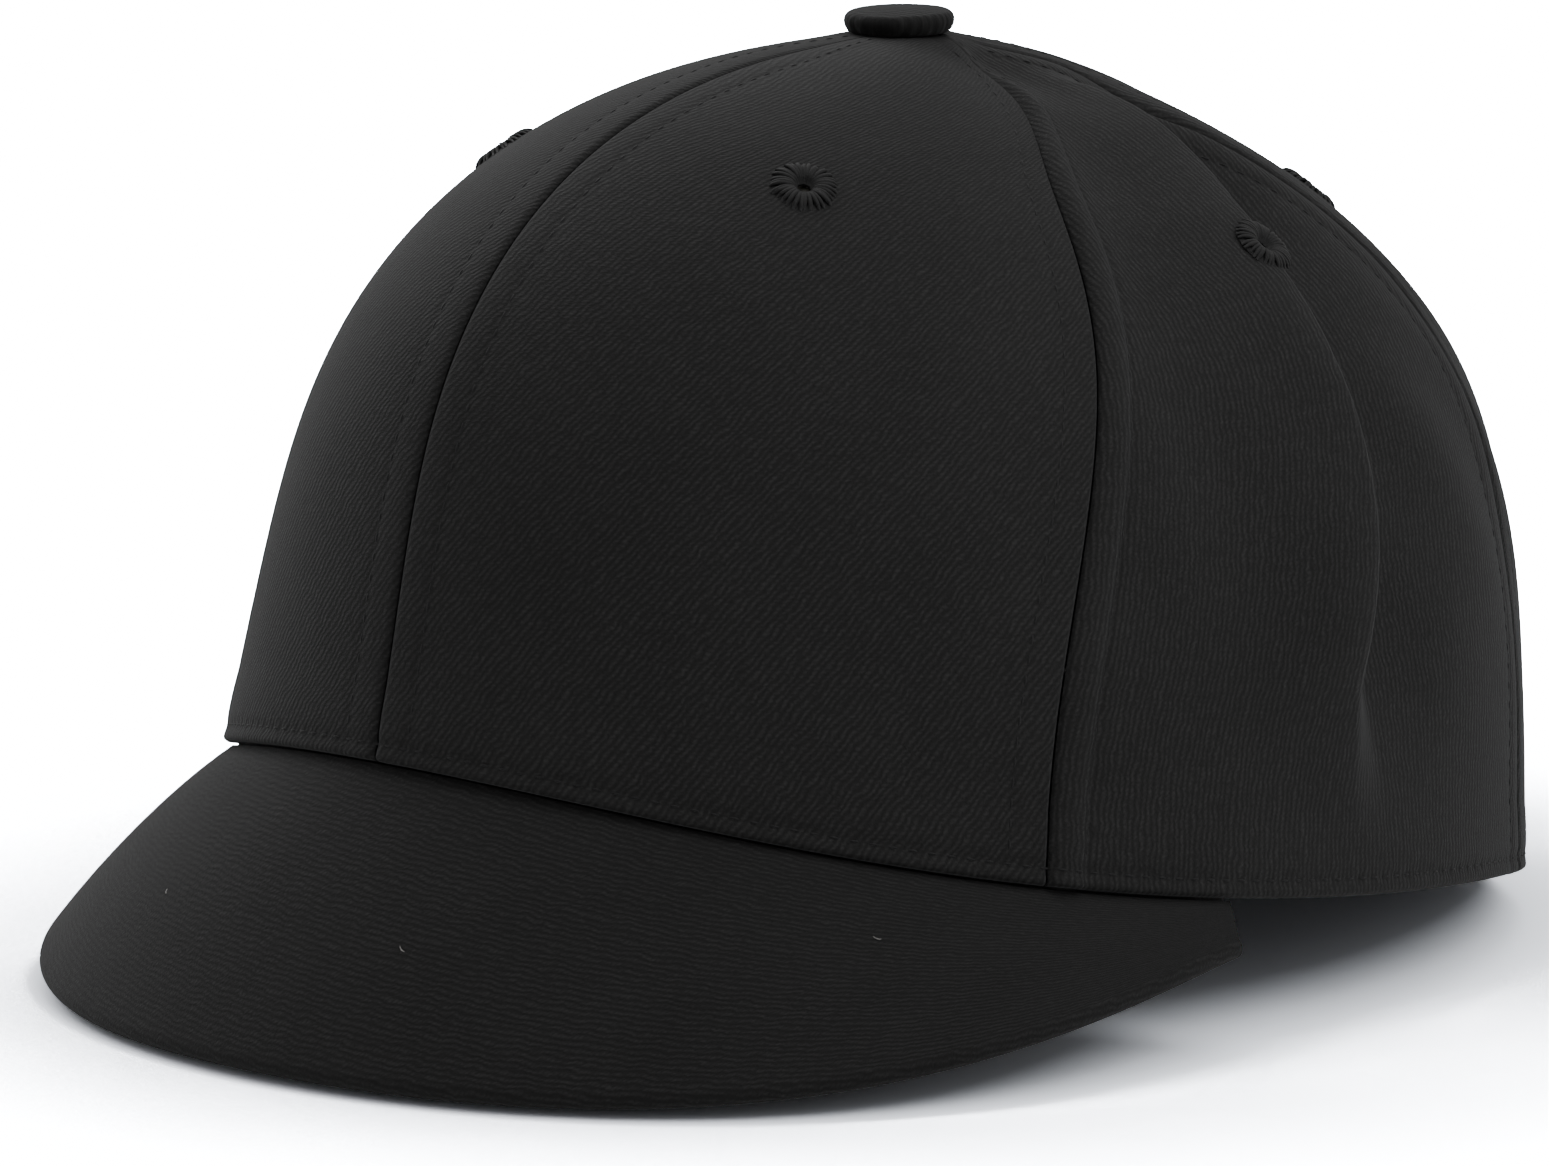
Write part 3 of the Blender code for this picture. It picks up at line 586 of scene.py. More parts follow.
def plastic(name, colour, rough, grain, depth, speckle=0.15):
    """Moulded plastic: a fine spark-eroded grain, and scuffs that change its gloss."""
    n = Nodes(name)
    place = n.add("ShaderNodeTexCoord").outputs["Object"]
    fine = n.noise(place, grain, 4.0, 0.6)
    scuff = n.noise(place, 60.0, 5.0, 0.7)
    tint = n.ramp(scuff, [(0.35, shade(colour, 1 - speckle)), (0.75, shade(colour, 1 + speckle))])
    n.set(Specular_IOR_Level=0.5)
    return n.set(Base_Color=tint, Roughness=n.remap(scuff, rough - 0.08, rough + 0.15),
                 Normal=n.bump(fine, depth))


def metal(name, colour, rough):
    n = Nodes(name)
    place = n.add("ShaderNodeTexCoord").outputs["Object"]
    scratch = n.noise(place, 900.0, 5.0, 0.7)
    n.set(Metallic=1.0)
    tint = n.ramp(scratch, [(0.3, shade(colour, 0.8)), (0.7, colour)])
    return n.set(Base_Color=tint, Roughness=n.remap(scratch, rough - 0.08, rough + 0.12),
                 Normal=n.bump(scratch, 0.00003))


def foam(name, colour, cell, depth):
    """Closed-cell foam: rounded pits of mixed size."""
    n = Nodes(name)
    place = n.add("ShaderNodeTexCoord").outputs["Object"]
    cells = n.add("ShaderNodeTexVoronoi")
    n.feed(cells.inputs["Vector"], place)
    cells.inputs["Scale"].default_value = cell
    pits = n.math("MULTIPLY_ADD", n.noise(place, cell * 0.4, 3.0), 0.7, cells.outputs["Distance"])
    # darker in the deep pits and lighter on the cell tops: painted shade
    tint = n.ramp(pits, [(0.25, shade(colour, 1.25)), (0.8, shade(colour, 0.6))])
    n.set(Specular_IOR_Level=0.3)
    return n.set(Base_Color=tint, Roughness=n.remap(pits, 0.8, 0.98),
                 Normal=n.bump(n.math("MULTIPLY", pits, -0.7), depth))


BLACK = (0.0113, 0.0112, 0.0112)
LOOK = {
    "front": twill("twill_front", BLACK, 57.0),
    "side": twill("twill_side", BLACK, 84.0),
    "rear": twill("twill_rear", BLACK, 72.0),
    # The peak's and the button's twill are darker copies of the crown's: painted shade, which holds down
    # the light that their upturned faces catch from the lamps.
    "visor": twill("twill_visor_painted_shade", shade(BLACK, 0.74), 6.0, 0.00098),
    "button": twill("twill_button_painted_shade", shade(BLACK, 0.72), 20.0, 0.00110),
    "strap": twill("twill_strap", BLACK, 45.0, 0.00105),
    "binding": plain_weave("binding_tape", (0.013, 0.013, 0.014), 0.00045, 0.0001),
    "tape": plain_weave("seam_tape", (0.016, 0.016, 0.018), 0.0005, 0.00012),
    "buckram": plain_weave("buckram", (0.52, 0.50, 0.45), 0.0011, 0.0003, 0.85, 0.0, 0.6),
    "sweatband": twill("sweatband_twill", (0.016, 0.016, 0.018), 30.0, 0.0009, 0.0001),
    "pad": plain_weave("pad_knit", (0.03, 0.03, 0.033), 0.0006, 0.00016),
    "thread": thread("black_thread", (0.0095, 0.0095, 0.0100)),
    "satin": thread("eyelet_thread", (0.0088, 0.0088, 0.0090)),
    "abs": plastic("shell_abs", (0.035, 0.036, 0.038), 0.38, 2600.0, 0.00005),
    "nylon": plastic("moulded_nylon", (0.014, 0.014, 0.015), 0.42, 3200.0, 0.00004),
    "board": plastic("visor_board", (0.30, 0.31, 0.33), 0.5, 1800.0, 0.00005),
    "hooks": plastic("hook_nylon", (0.015, 0.015, 0.016), 0.45, 3000.0, 0.00003),
    "pile": thread("loop_pile", (0.02, 0.02, 0.021)),
    "steel": metal("nickelled_steel", (0.62, 0.61, 0.58), 0.3),
    "foam": foam("eva_foam", (0.04, 0.04, 0.043), 1500.0, 0.00025),
    "lint": thread("lint", (0.35, 0.34, 0.33)),
}


# ---------------------------------------------------------------- crown panels
def panel_angles(first, second, side, u_of, columns, margin):
    """Angles and heights of a panel's grid, on the wearer's left or right."""
    share = np.linspace(0, 1, columns)[None, :]
    u = np.full((1, columns), 0.5) + np.zeros((len(u_of), 1))
    for _ in range(4):
        a, b = seam_angle(first, u), seam_angle(second, u)
        theta = a + (b - a) * share
        bottom = panel_bottom(theta)
        u = bottom + (u_at_radius(theta, HOLE_RADIUS) - bottom) * u_of[:, None]
    clear = margin / np.maximum(radius_at(theta, u), 0.003)
    theta = a + clear + (b - a - 2 * clear) * share
    if side < 0:
        return -theta[:, ::-1], u[:, ::-1]
    return theta, u


def panel_bottom(theta):
    """u of a panel's lower edge: the rim, and the arch of the rear opening."""
    x = RIM_HALF_WIDTH * np.sin(np.abs(theta)) * 1.01
    inside = np.clip(1 - (x / ARCH_HALF_WIDTH) ** 2, 0.0, 1.0)
    z = rim_height(math.pi) + ARCH_HEIGHT * np.sqrt(inside)
    over = (np.cos(theta) < 0) & (z > rim_height(theta))
    return np.where(over, u_at_height(theta, z), 0.0)


def build_panels():
    for name, first, second in (("front", "front", "front_side"),
                                ("side", "front_side", "rear_side"),
                                ("rear", "rear_side", "rear")):
        for side, hand in ((1, "left"), (-1, "right")):
            steps = np.concatenate([np.linspace(0, 0.02, 10)[:-1], np.linspace(0.02, 1, 200)])
            theta, u = panel_angles(first, second, side, steps, 200, GAP * 0.5)
            points = skin(theta, u)
            quads = grid_faces(*theta.shape)
            eye_deg, eye_u = EYELETS[name]
            eye = skin(math.radians(eye_deg) * side, eye_u)
            near = np.linalg.norm(points.reshape(-1, 3) - eye, axis=-1) < EYELET_HOLE
            quads = quads[~near[quads].any(1)]
            node = f"{name}_panel_{hand}"
            cloth = new_mesh(f"{node}_cloth", points, quads, LOOK[name], lengths_uv(points))
            thicken(cloth, FABRIC)
            stand_in(cloth, "cap", node)


def line_on_skin(theta, u):
    """Points and outward directions along a line on the cloth."""
    theta, u = np.broadcast_arrays(np.asarray(theta, float), np.asarray(u, float))
    return skin(theta, u), directions(theta, u, skin)[2]


def crown_stitching():
    """A row on both sides of each seam, and one round the rim."""
    rows = Sewing()
    stitch = (0.0019, 0.0010, 0.00002, 0.00030)
    for which in ("front", "front_side", "rear_side", "rear"):
        for side in (1, -1):
            for hand in (1,) if which in ("front", "rear") else (1, -1):
                start = 0.052 if which == "rear" else 0.004
                theta = seam_angle(which, 0.4)
                first = u_above_rim(theta, start)
                last = u_at_radius(theta, 0.011)
                u = np.linspace(first, last, 400)
                middle = seam_angle(which, u)
                away = TOPSTITCH * (0.35 + 0.65 * smoothstep(radius_at(middle, u), 0.008, 0.03))
                shift = away / radius_at(middle, u)
                theta = middle - shift if which == "rear" else middle + hand * shift
                rows.row(*line_on_skin(theta * side, u), *stitch)
    end = math.radians(154)
    theta = np.linspace(-end, end, 2400)
    rows.row(*line_on_skin(theta, u_above_rim(theta, RIM_STITCH)), *stitch)
    rows.sew("crown_topstitching", 0.00017, "cap")


# ---------------------------------------------------------------- eyelets and button
def build_eyelets():
    for name, (angle, u) in EYELETS.items():
        for side, hand in ((1, "left"), (-1, "right")):
            theta = math.radians(angle) * side
            along, upward, out = directions(np.array(theta), np.array(u))
            upward = unit(np.cross(out, along))
            centre = skin(theta, u)
            paths, outs = [], []
            for k in range(EYELET_STITCHES):
                turn = 2 * math.pi * (k + RANDOM.uniform(-0.25, 0.25)) / EYELET_STITCHES
                reach = EYELET_RADIUS * RANDOM.uniform(0.93, 1.04)
                swing = RANDOM.uniform(-0.06, 0.06)
                radii = np.linspace(EYELET_HOLE * 0.85, reach, 9)
                t = np.linspace(0, 1, len(radii))
                turns = turn + swing * t
                lift = (0.00075 * np.sin(math.pi * np.clip(t * 1.02, 0, 1)) ** 0.55
                        - 0.0005 * (1 - t) ** 6 - 0.0001)
                lift = lift * RANDOM.uniform(0.85, 1.1)
                paths.append(centre + along * (radii * np.cos(turns))[:, None]
                             + upward * (radii * np.sin(turns))[:, None]
                             + out * (lift - fall_away(radii))[:, None])
                outs.append(np.repeat(out[None], len(radii), 0))
            ring = tubes(f"eyelet_{name}_{hand}_stitches", paths, 0.00040, LOOK["satin"], outs, 0.8)
            core_turn = np.linspace(0, 2 * math.pi, 48, endpoint=False)[None, :]
            core_r = np.array([1.0, 1.35, 2.0, 3.2, 4.4, 4.9])[:, None] * 0.00102
            core_h = np.array([-0.9, 0.10, 0.32, 0.30, 0.10, -0.15])[:, None] * 0.001
            points = (centre + along * (core_r * np.cos(core_turn))[..., None]
                      + upward * (core_r * np.sin(core_turn))[..., None]
                      + out * (core_h - fall_away(core_r) + 0 * core_turn)[..., None])
            quads = grid_faces(*points.shape[:2], True)[:, ::-1]
            core = new_mesh(f"eyelet_{name}_{hand}_padding", points, quads, LOOK["satin"])
            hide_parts(f"eyelet_{name}_{hand}")
            for piece in (ring, core):
                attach(piece, "cap")


def fall_away(radii):
    """How far the round crown falls away from a flat disc, radii metres from its middle."""
    return radii ** 2 / (2 * CROWN_RADIUS)


def build_button():
    """Cloth pulled over a domed blank and gathered under its edge."""
    rows, columns = 40, 96
    t = np.linspace(0, 1, rows)
    edge, tilt = 0.00125, 0.02

    def top_height(r):
        return BUTTON_HEIGHT - 0.0008 * (r / BUTTON_RADIUS) ** 2.2

    profile = []
    for s in t:
        if s < 0.5:
            r = (BUTTON_RADIUS - edge) * s / 0.5
            profile.append((r, top_height(r)))
        else:
            a = (s - 0.5) / 0.5 * math.radians(200)
            top = top_height(BUTTON_RADIUS - edge)
            stretch = 1.0 + 0.55 * max(0.0, -math.cos(a)) if a > math.pi / 2 else 1.0
            profile.append((BUTTON_RADIUS - edge + edge * math.sin(a),
                            top - edge + edge * math.cos(a) * stretch))
    profile = np.array(profile)
    turn = np.linspace(0, 2 * math.pi, columns, endpoint=False)
    gather = 0.00014 * smoothstep(t, 0.62, 0.95)[:, None] * np.sin(19 * turn + 1.0)[None, :]
    gather = gather + 0.0001 * smoothstep(t, 0.3, 0.7)[:, None] * np.sin(5 * turn)[None, :]
    r = profile[:, :1] + gather
    points = np.stack([r * np.cos(turn), r * np.sin(turn) + BUTTON_Y,
                       profile[:, 1:] + GAP + APEX_HEIGHT + tilt * r * np.sin(turn)], -1)
    flat = np.stack([r * np.cos(turn), r * np.sin(turn)], -1)
    quads = grid_faces(rows, columns, True)[:, ::-1]
    button = new_mesh("top_button_cover", points, quads, LOOK["button"], flat)
    stand_in(button, "cap", "top_button")


# ---------------------------------------------------------------- peak
def visor(theta, share, depth=0.0):
    slope = math.radians(VISOR_SLOPE)
    t = np.clip(np.abs(theta) / math.radians(VISOR_HALF_ANGLE), 0.0, 1.0)
    taper = np.maximum(0.0, 1 - t ** VISOR_PLAN[0]) ** VISOR_PLAN[1]
    run = (VISOR_END_LENGTH + (VISOR_LENGTH - VISOR_END_LENGTH) * taper) * share
    out = np.stack(np.broadcast_arrays(VISOR_SPLAY * np.sin(theta), -math.cos(slope),
                                       -math.sin(slope) + 0 * theta), -1)
    narrow = 1 - VISOR_TUCK / RIM_HALF_WIDTH
    start = np.stack([RIM_HALF_WIDTH * narrow * np.sin(theta),
                      -RIM_HALF_LENGTH * narrow * np.cos(theta),
                      rim_height(theta) - 2 * GAP], -1)
    droop = np.zeros(start.shape)
    droop[..., 2] = VISOR_DROOP * run ** 2
    return start + unit(out) * run[..., None] - droop


def visor_normal(theta, share):
    step = 0.01
    lower, upper = np.maximum(share - step, 0.0), np.minimum(share + step, 1.0)
    along = visor(theta + step, share) - visor(theta - step, share)
    outward = visor(theta, upper) - visor(theta, lower)
    return unit(np.cross(outward, along))


def build_visor():
    """Top cover turned round the board's edge, under cover, seam allowance and edge stitches."""
    half = math.radians(VISOR_HALF_ANGLE) * 0.995
    theta = np.linspace(-half, half, 420)[None, :]
    r = VISOR_THICKNESS / 2
    over, wrap, under_rows, turn_share = 90, 14, 6, 0.965
    shares = np.concatenate([np.linspace(0, turn_share, over), np.full(wrap, turn_share),
                             np.linspace(turn_share - 0.003, 0.93, under_rows)])
    angle = np.concatenate([np.zeros(over), np.linspace(0, math.pi, wrap + 1)[1:],
                            np.full(under_rows, math.pi)])
    share = shares[:, None] + 0 * theta
    tt = theta + 0 * share
    surface = visor(tt, share)
    normal = visor_normal(tt, share)
    outward = unit(np.cross(visor(tt + 0.01, share) - visor(tt - 0.01, share), normal))
    lift = 0.00012 * np.sin(7 * tt + 3) * np.sin(5 * share) * share
    a = angle[:, None, None]
    points = surface + normal * (lift[..., None] - r + r * np.cos(a)) + outward * (r * np.sin(a))
    flipped = grid_faces(*tt.shape)[:, ::-1]
    top = new_mesh("visor_top_cloth", points, flipped, LOOK["visor"], lengths_uv(points))
    share = np.linspace(0, 0.955, 70)[:, None] + 0 * theta
    tt = theta + 0 * share
    normal = visor_normal(tt, share)
    under_points = visor(tt, share) - normal * (VISOR_THICKNESS - 0.0001)
    under = sheet_piece("visor_under_cloth", under_points, LOOK["visor"])
    rise = np.linspace(-0.0012, 0.0105, 12)[:, None]
    tt = theta + 0 * rise
    u = u_above_rim(tt, np.maximum(rise, 0.0))
    points = skin(tt, u, -FABRIC - 0.0004)
    points[..., 2] += np.minimum(rise, 0.0)
    flange = sheet_piece("visor_seam_allowance", points, LOOK["visor"], 0.0006)
    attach(flange, "cap")
    seam_share = np.full(2400, 0.945)
    angles = np.linspace(-half * 0.985, half * 0.985, 2400)
    normals = -visor_normal(angles, seam_share)
    line = visor(angles, seam_share) + normals * (VISOR_THICKNESS + 0.0001)
    rows = Sewing()
    rows.row(line, normals)
    rows.sew("visor_edge_stitching", FINE_THREAD_RADIUS, "cap")
    stand_in(top, "cap", "visor_top_cover")
    stand_in(under, "cap", "visor_under_cover")


# ---------------------------------------------------------------- lining pieces
def build_lining():
    for side, hand in ((1, "left"), (-1, "right")):
        share = np.linspace(0, 1, 60)
        u = np.full((60, 60), 0.5)
        for _ in range(4):
            b = seam_angle("front_side", u)
            theta = b * share[None, :]
            top = u_at_radius(theta, 0.018)
            u = 0.012 + (top - 0.012) * np.linspace(0, 1, 60)[:, None]
        clear = 0.004 / radius_at(theta, u)
        theta = clear + (b - 2 * clear) * share[None, :]
        theta, u = (theta, u) if side > 0 else (-theta[:, ::-1], u[:, ::-1])
        made = sheet_piece(f"front_buckram_{hand}_mesh", skin(theta, u, -BUCKRAM_DEPTH),
                           LOOK["buckram"], BUCKRAM)
        stand_in(made, "cap", f"front_buckram_{hand}")

    seams = [("front", 1, "seam_tape_front"), ("rear", 1, "seam_tape_rear")]
    for which in ("front_side", "rear_side"):
        seams += [(which, 1, f"seam_tape_{which}_left"), (which, -1, f"seam_tape_{which}_right")]
    rows = Sewing()
    for which, side, node in seams:
        start = 0.049 if which == "rear" else SWEATBAND_HEIGHT + 0.002
        middle = seam_angle(which, 0.4)
        u = np.linspace(u_above_rim(middle, start), u_at_radius(middle, 0.021), 120)[:, None]
        middle = seam_angle(which, u)
        half = TAPE_WIDTH / 2 / np.maximum(radius_at(middle, u), 0.012)
        theta = middle * side + half * np.linspace(-1, 1, 15)[None, :]
        u = u + 0 * theta
        made = sheet_piece(f"{node}_cloth", skin(theta, u, -LINING_DEPTH), LOOK["tape"], TAPE, -1.0,
                           0.00015)
        stand_in(made, "cap", node)
        for edge in (2, 12):
            line = skin(theta[:, edge], u[:, edge], -LINING_DEPTH - TAPE)
            rows.row(line, -directions(theta[:, edge], u[:, edge])[2], 0.0024)
    rows.sew("tape_stitching", FINE_THREAD_RADIUS, "cap")


def build_sweatband():
    """A padded band. Its lower edge is sewn to the rim, and its upper edge is folded over."""
    end = math.pi - math.radians(26.5)
    theta = np.linspace(-end, end, 420)[None, :]
    ring = np.linspace(0, 2 * math.pi, 44, endpoint=False)[:, None]
    c, s = np.cos(ring), np.sin(ring)
    middle, reach = (0.0015 + SWEATBAND_HEIGHT) / 2, (SWEATBAND_HEIGHT - 0.0015) / 2
    height = middle + reach * np.sign(s) * np.abs(s) ** 0.55
    thick = SWEATBAND / 2 * np.sign(c) * np.abs(c) ** 0.45
    quilt = 1 - 0.28 * np.exp(-((height - QUILT_LEVEL) / 0.0012) ** 2)
    depth = LINING_DEPTH + SWEATBAND / 2 - thick * quilt
    pucker = 0.00012 * np.sin(theta * 60) * (c < 0) * np.exp(-((height - QUILT_LEVEL) / 0.004) ** 2)
    height = height + 0 * theta
    tt = theta + 0 * height
    u = u_above_rim(tt, height)
    points = base(tt, u) - directions(tt, u)[2] * (depth + pucker)[..., None]
    points = np.concatenate([points, points[:1]], 0)
    flat = np.stack([tt * RIM_RADIUS, height], -1)
    flat[:, :, 1] = np.cumsum(np.full(height.shape, 0.0014), 0)
    flat = np.concatenate([flat, flat[-1:] + np.array([0, 0.0014])], 0)
    quads = grid_faces(*points.shape[:2])
    band = new_mesh("sweatband_cloth", points, quads, LOOK["sweatband"], flat)
    fill_ends(band)
    rows = Sewing()
    for level, thick in ((QUILT_LEVEL, 0.87), (0.0255, 1.0)):
        angles = np.linspace(-end * 0.99, end * 0.99, 2400)
        u = u_above_rim(angles, level)
        inward = -directions(angles, u)[2]
        line = base(angles, u) + inward * (LINING_DEPTH + SWEATBAND * thick)
        rows.row(line, inward, 0.0024)
    rows.sew("sweatband_stitching", THREAD_RADIUS, "cap")
    stand_in(band, "cap", "sweatband")


def fill_ends(obj):
    """Closes the open ends of a rolled-up grid."""
    shape = bmesh.new()
    shape.from_mesh(obj.data)
    bmesh.ops.remove_doubles(shape, verts=shape.verts, dist=1e-6)
    bmesh.ops.holes_fill(shape, edges=[e for e in shape.edges if e.is_boundary], sides=0)
    bmesh.ops.recalc_face_normals(shape, faces=shape.faces)
    shape.to_mesh(obj.data)
    shape.free()


# ---------------------------------------------------------------- rear opening and strap
def rear_spot(x, z):
    """(theta, u) of the back of the skin at that x and z."""
    x, z = np.broadcast_arrays(np.asarray(x, float), np.asarray(z, float))
    theta = math.pi - np.arcsin(np.clip(x / RIM_HALF_WIDTH, -1, 1))
    for _ in range(25):
        u = u_at_height(theta, z)
        sine = np.sin(theta)
        spread = np.where(np.abs(sine) > 1e-4, base(theta, u)[..., 0] / np.where(sine == 0, 1, sine),
                          RIM_HALF_WIDTH)
        theta = math.pi - np.arcsin(np.clip(x / spread, -1, 1))
    return theta, u_at_height(theta, z)


def arch_line(phi, grow):
    """(theta, u) along the rear opening's edge, grown outward. theta is from -180 to 180 degrees."""
    x = (ARCH_HALF_WIDTH + grow) * np.cos(phi)
    z = rim_height(math.pi) + (ARCH_HEIGHT + grow) * np.sin(phi)
    theta, u = rear_spot(x, z)
    return (theta + math.pi) % (2 * math.pi) - math.pi, u


def build_binding():
    """A folded tape over the edge of the rear opening, with a row of stitches on each face."""
    phi = np.linspace(math.radians(9.0), math.radians(171.0), 260)[None, :]
    width, r = 0.0065, 0.00105
    grow = np.concatenate([np.linspace(width, 0.0002, 16), np.zeros(13), np.linspace(0.0002, width, 16)])
    angle = np.concatenate([np.zeros(16), np.linspace(0, math.pi, 13), np.full(16, math.pi)])
    g = grow[:, None] + 0 * phi
    a = angle[:, None] + 0 * phi
    turn = phi + 0 * g
    theta, u = arch_line(turn, g)
    normal = directions(theta, u)[2]
    inward = unit(skin(*arch_line(turn, g - 0.002)) - skin(*arch_line(turn, g + 0.002)))
    centre = skin(theta, u, -FABRIC / 2)
    points = centre + normal * (r * np.cos(a))[..., None] + inward * (r * np.sin(a))[..., None]
    made = new_mesh("rear_arch_binding_tape", points, grid_faces(*g.shape)[:, ::-1],
                    LOOK["binding"], lengths_uv(points))
    rows = Sewing()
    line_phi = np.linspace(math.radians(10), math.radians(170), 900)
    for out, sign in ((0.00045, 1), (-FABRIC - 0.00045, -1)):
        theta, u = arch_line(line_phi, np.full(900, 0.0052))
        rows.row(skin(theta, u, out), directions(theta, u)[2] * sign, 0.0024)
    rows.sew("rear_arch_stitching", THREAD_RADIUS, "cap")
    stand_in(made, "cap", "rear_arch_binding")


def rear_theta(arc):
    """The angle that lies arc metres along the rim from the middle of the back."""
    theta, steps = np.full(np.shape(arc), math.pi), 40
    for _ in range(steps):
        speed = np.hypot(RIM_HALF_WIDTH * np.cos(theta), RIM_HALF_LENGTH * np.sin(theta))
        theta = theta - np.asarray(arc) / steps / speed
    return theta


def rear_place(arc, z):
    """A point of the plain crown at the back, with its level and outward directions."""
    theta = rear_theta(arc)
    point = base(theta, u_at_height(theta, z))
    tangent = unit(np.stack([-RIM_HALF_WIDTH * np.cos(theta), -RIM_HALF_LENGTH * np.sin(theta),
                             0 * theta], -1))
    outward = np.stack([-tangent[..., 1], tangent[..., 0], 0 * theta], -1)
    return point, tangent, outward


def strip_path(parts, z):
    """Mid-line points at the height z. A part is ("rim", start, end, out, count) or
    ("bar", arc, radius, first degrees, last degrees, count)."""
    rows = []
    for part in parts:
        if part[0] == "rim":
            _, start, end, out, count = part
            point, _, outward = rear_place(np.linspace(start, end, count), z)
            rows.append(point + outward * out)
        else:
            _, arc, radius, first, last, count = part
            point, tangent, outward = rear_place(np.full(count, arc), z)
            a = np.radians(np.linspace(first, last, count))[:, None]
            rows.append(point + (tangent * np.cos(a) + outward * np.sin(a)) * radius)
    return np.concatenate(rows)


def strip(name, parts, thickness, look, body, node, low=STRAP_LOW, high=STRAP_HIGH):
    levels = np.linspace(low, high, 22)
    points = np.stack([strip_path(parts, z) for z in levels])
    made = sheet_piece(name, points, LOOK[look], thickness, 0.0, 0.0002)
    stand_in(made, body, node)


def edge_rows(parts, offset, levels, sign, name, body):
    """Rows of stitches along a strip, clear of its ends."""
    rows = Sewing()
    for z in levels:
        line = strip_path(parts, z)[3:-3]
        across = unit(np.gradient(line, axis=0))
        normals = unit(np.stack([across[:, 1], -across[:, 0], 0 * across[:, 0]], -1)) * sign
        rows.row(line + normals * offset, normals, 0.0023)
    rows.sew(name, FINE_THREAD_RADIUS, body)


def build_strap():
    turn = BAR_RADIUS + GAP + STRAP / 2
    sewn = [("rim", 0.0440, BAR_INNER + 0.0015, -STRAP_DEPTH, 90),
            ("bar", BAR_INNER, turn, 270, 90, 24)]
    strip("strap_sewn_web", sewn, STRAP, "strap", "cap", "strap_sewn")
    tab = [("rim", -0.0440, BAR_OUTER - 0.0015, -STRAP_DEPTH, 40),
           ("bar", BAR_OUTER, turn, 270, 450, 24)]
    strip("loop_tab_web", tab, STRAP, "strap", "cap", "loop_tab")
    tail = [("rim", TAIL_START, TAIL_END, turn, 70)]
    strip("strap_tail_web", tail, STRAP, "strap", "strap_tail", "strap_tail")
    build_strap_fold(turn)
    edges = (STRAP_LOW + 0.0022, STRAP_HIGH - 0.0022)
    edge_rows(tail, STRAP / 2, edges, 1, "strap_tail_stitching", "strap_tail")
    edge_rows(sewn[:1], STRAP / 2, edges, -1, "strap_sewn_stitching", "cap")

    loop_out = -STRAP_DEPTH + STRAP / 2 + GAP + PATCH / 2
    loop_part = [("rim", 0.0240, -0.0075, loop_out, 60)]
    strip("loop_patch_backing", loop_part, PATCH, "strap", "cap", "loop_patch",
          STRAP_LOW + 0.001, STRAP_HIGH - 0.001)
    hook_out = turn - STRAP / 2 - GAP - PATCH / 2
    hook_part = [("rim", -0.0075, TAIL_END - 0.0005, hook_out, 60)]
    strip("hook_patch_backing", hook_part, PATCH, "hooks", "strap_tail", "hook_patch",
          STRAP_LOW + 0.001, STRAP_HIGH - 0.001)

    build_pile(loop_out)
    build_hooks(hook_out)


def build_pile(loop_out):
    """Small arches of fibre, all ways round, over the loop patch."""
    paths, outs = [], []
    for _ in range(900):
        arc = RANDOM.uniform(-0.0068, 0.0234)
        z = RANDOM.uniform(STRAP_LOW + 0.0016, STRAP_HIGH - 0.0016)
        point, tangent, outward = rear_place(np.array([arc]), z)
        angle = RANDOM.uniform(0, 2 * math.pi)
        side = tangent[0] * math.cos(angle) + np.array([0, 0, 1.0]) * math.sin(angle)
        t = np.linspace(-1, 1, 6)[:, None]
        arch = (1 - t ** 2) * RANDOM.uniform(0.00025, 0.00045)
        paths.append(point[0] + outward[0] * (loop_out + PATCH / 2 + arch - 0.0001) + side * t * 0.0005)
        outs.append(np.repeat(np.cross(side, outward[0])[None], 6, 0))
    pile = tubes("loop_patch_pile", paths, 0.00007, LOOK["pile"], outs)
    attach(pile, "cap")


def build_hooks(hook_out):
    """Rows of small hooks on the tail's patch, bent one way and the other in turn."""
    columns, rows = 24, 14
    stem_height, crook = 0.00032, 0.00014
    paths, outs = [], []
    for i in range(columns):
        for j in range(rows):
            arc = -0.0068 + 0.0296 * i / (columns - 1)
            z = STRAP_LOW + 0.002 + (STRAP_HIGH - STRAP_LOW - 0.004) * j / (rows - 1)
            point, tangent, outward = rear_place(np.array([arc]), z)
            way = 1 if (i + j) % 2 else -1
            a = np.linspace(0, math.radians(200), 7)[:, None]
            stem = np.minimum(a / math.radians(60), 1.0) * stem_height
            bend = np.maximum(a - math.radians(60), 0)
            spot = (-(stem + crook * np.sin(bend)) * outward[0]
                    + crook * (1 - np.cos(bend)) * way * tangent[0])
            paths.append(point[0] + outward[0] * (hook_out - PATCH / 2 + 0.00005) + spot)
            outs.append(np.repeat(np.array([[0, 0, 1.0]]), 7, 0))
    hooks = tubes("hook_patch_hooks", paths, 0.00008, LOOK["hooks"], outs)
    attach(hooks, "strap_tail")


def build_strap_fold(turn):
    """The short bend of strap between the loop's bar and the tail."""
    crossing = [("rim", BAR_INNER - 0.0003, TAIL_START + 0.0003, turn, 12)]
    levels = np.linspace(STRAP_LOW, STRAP_HIGH, 22)
    points = np.stack([strip_path(crossing, z) for z in levels])
    made = sheet_piece("strap_fold_web", points, LOOK["strap"], STRAP * 0.96, 0.0)
    apply_modifiers(made)
    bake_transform(made)


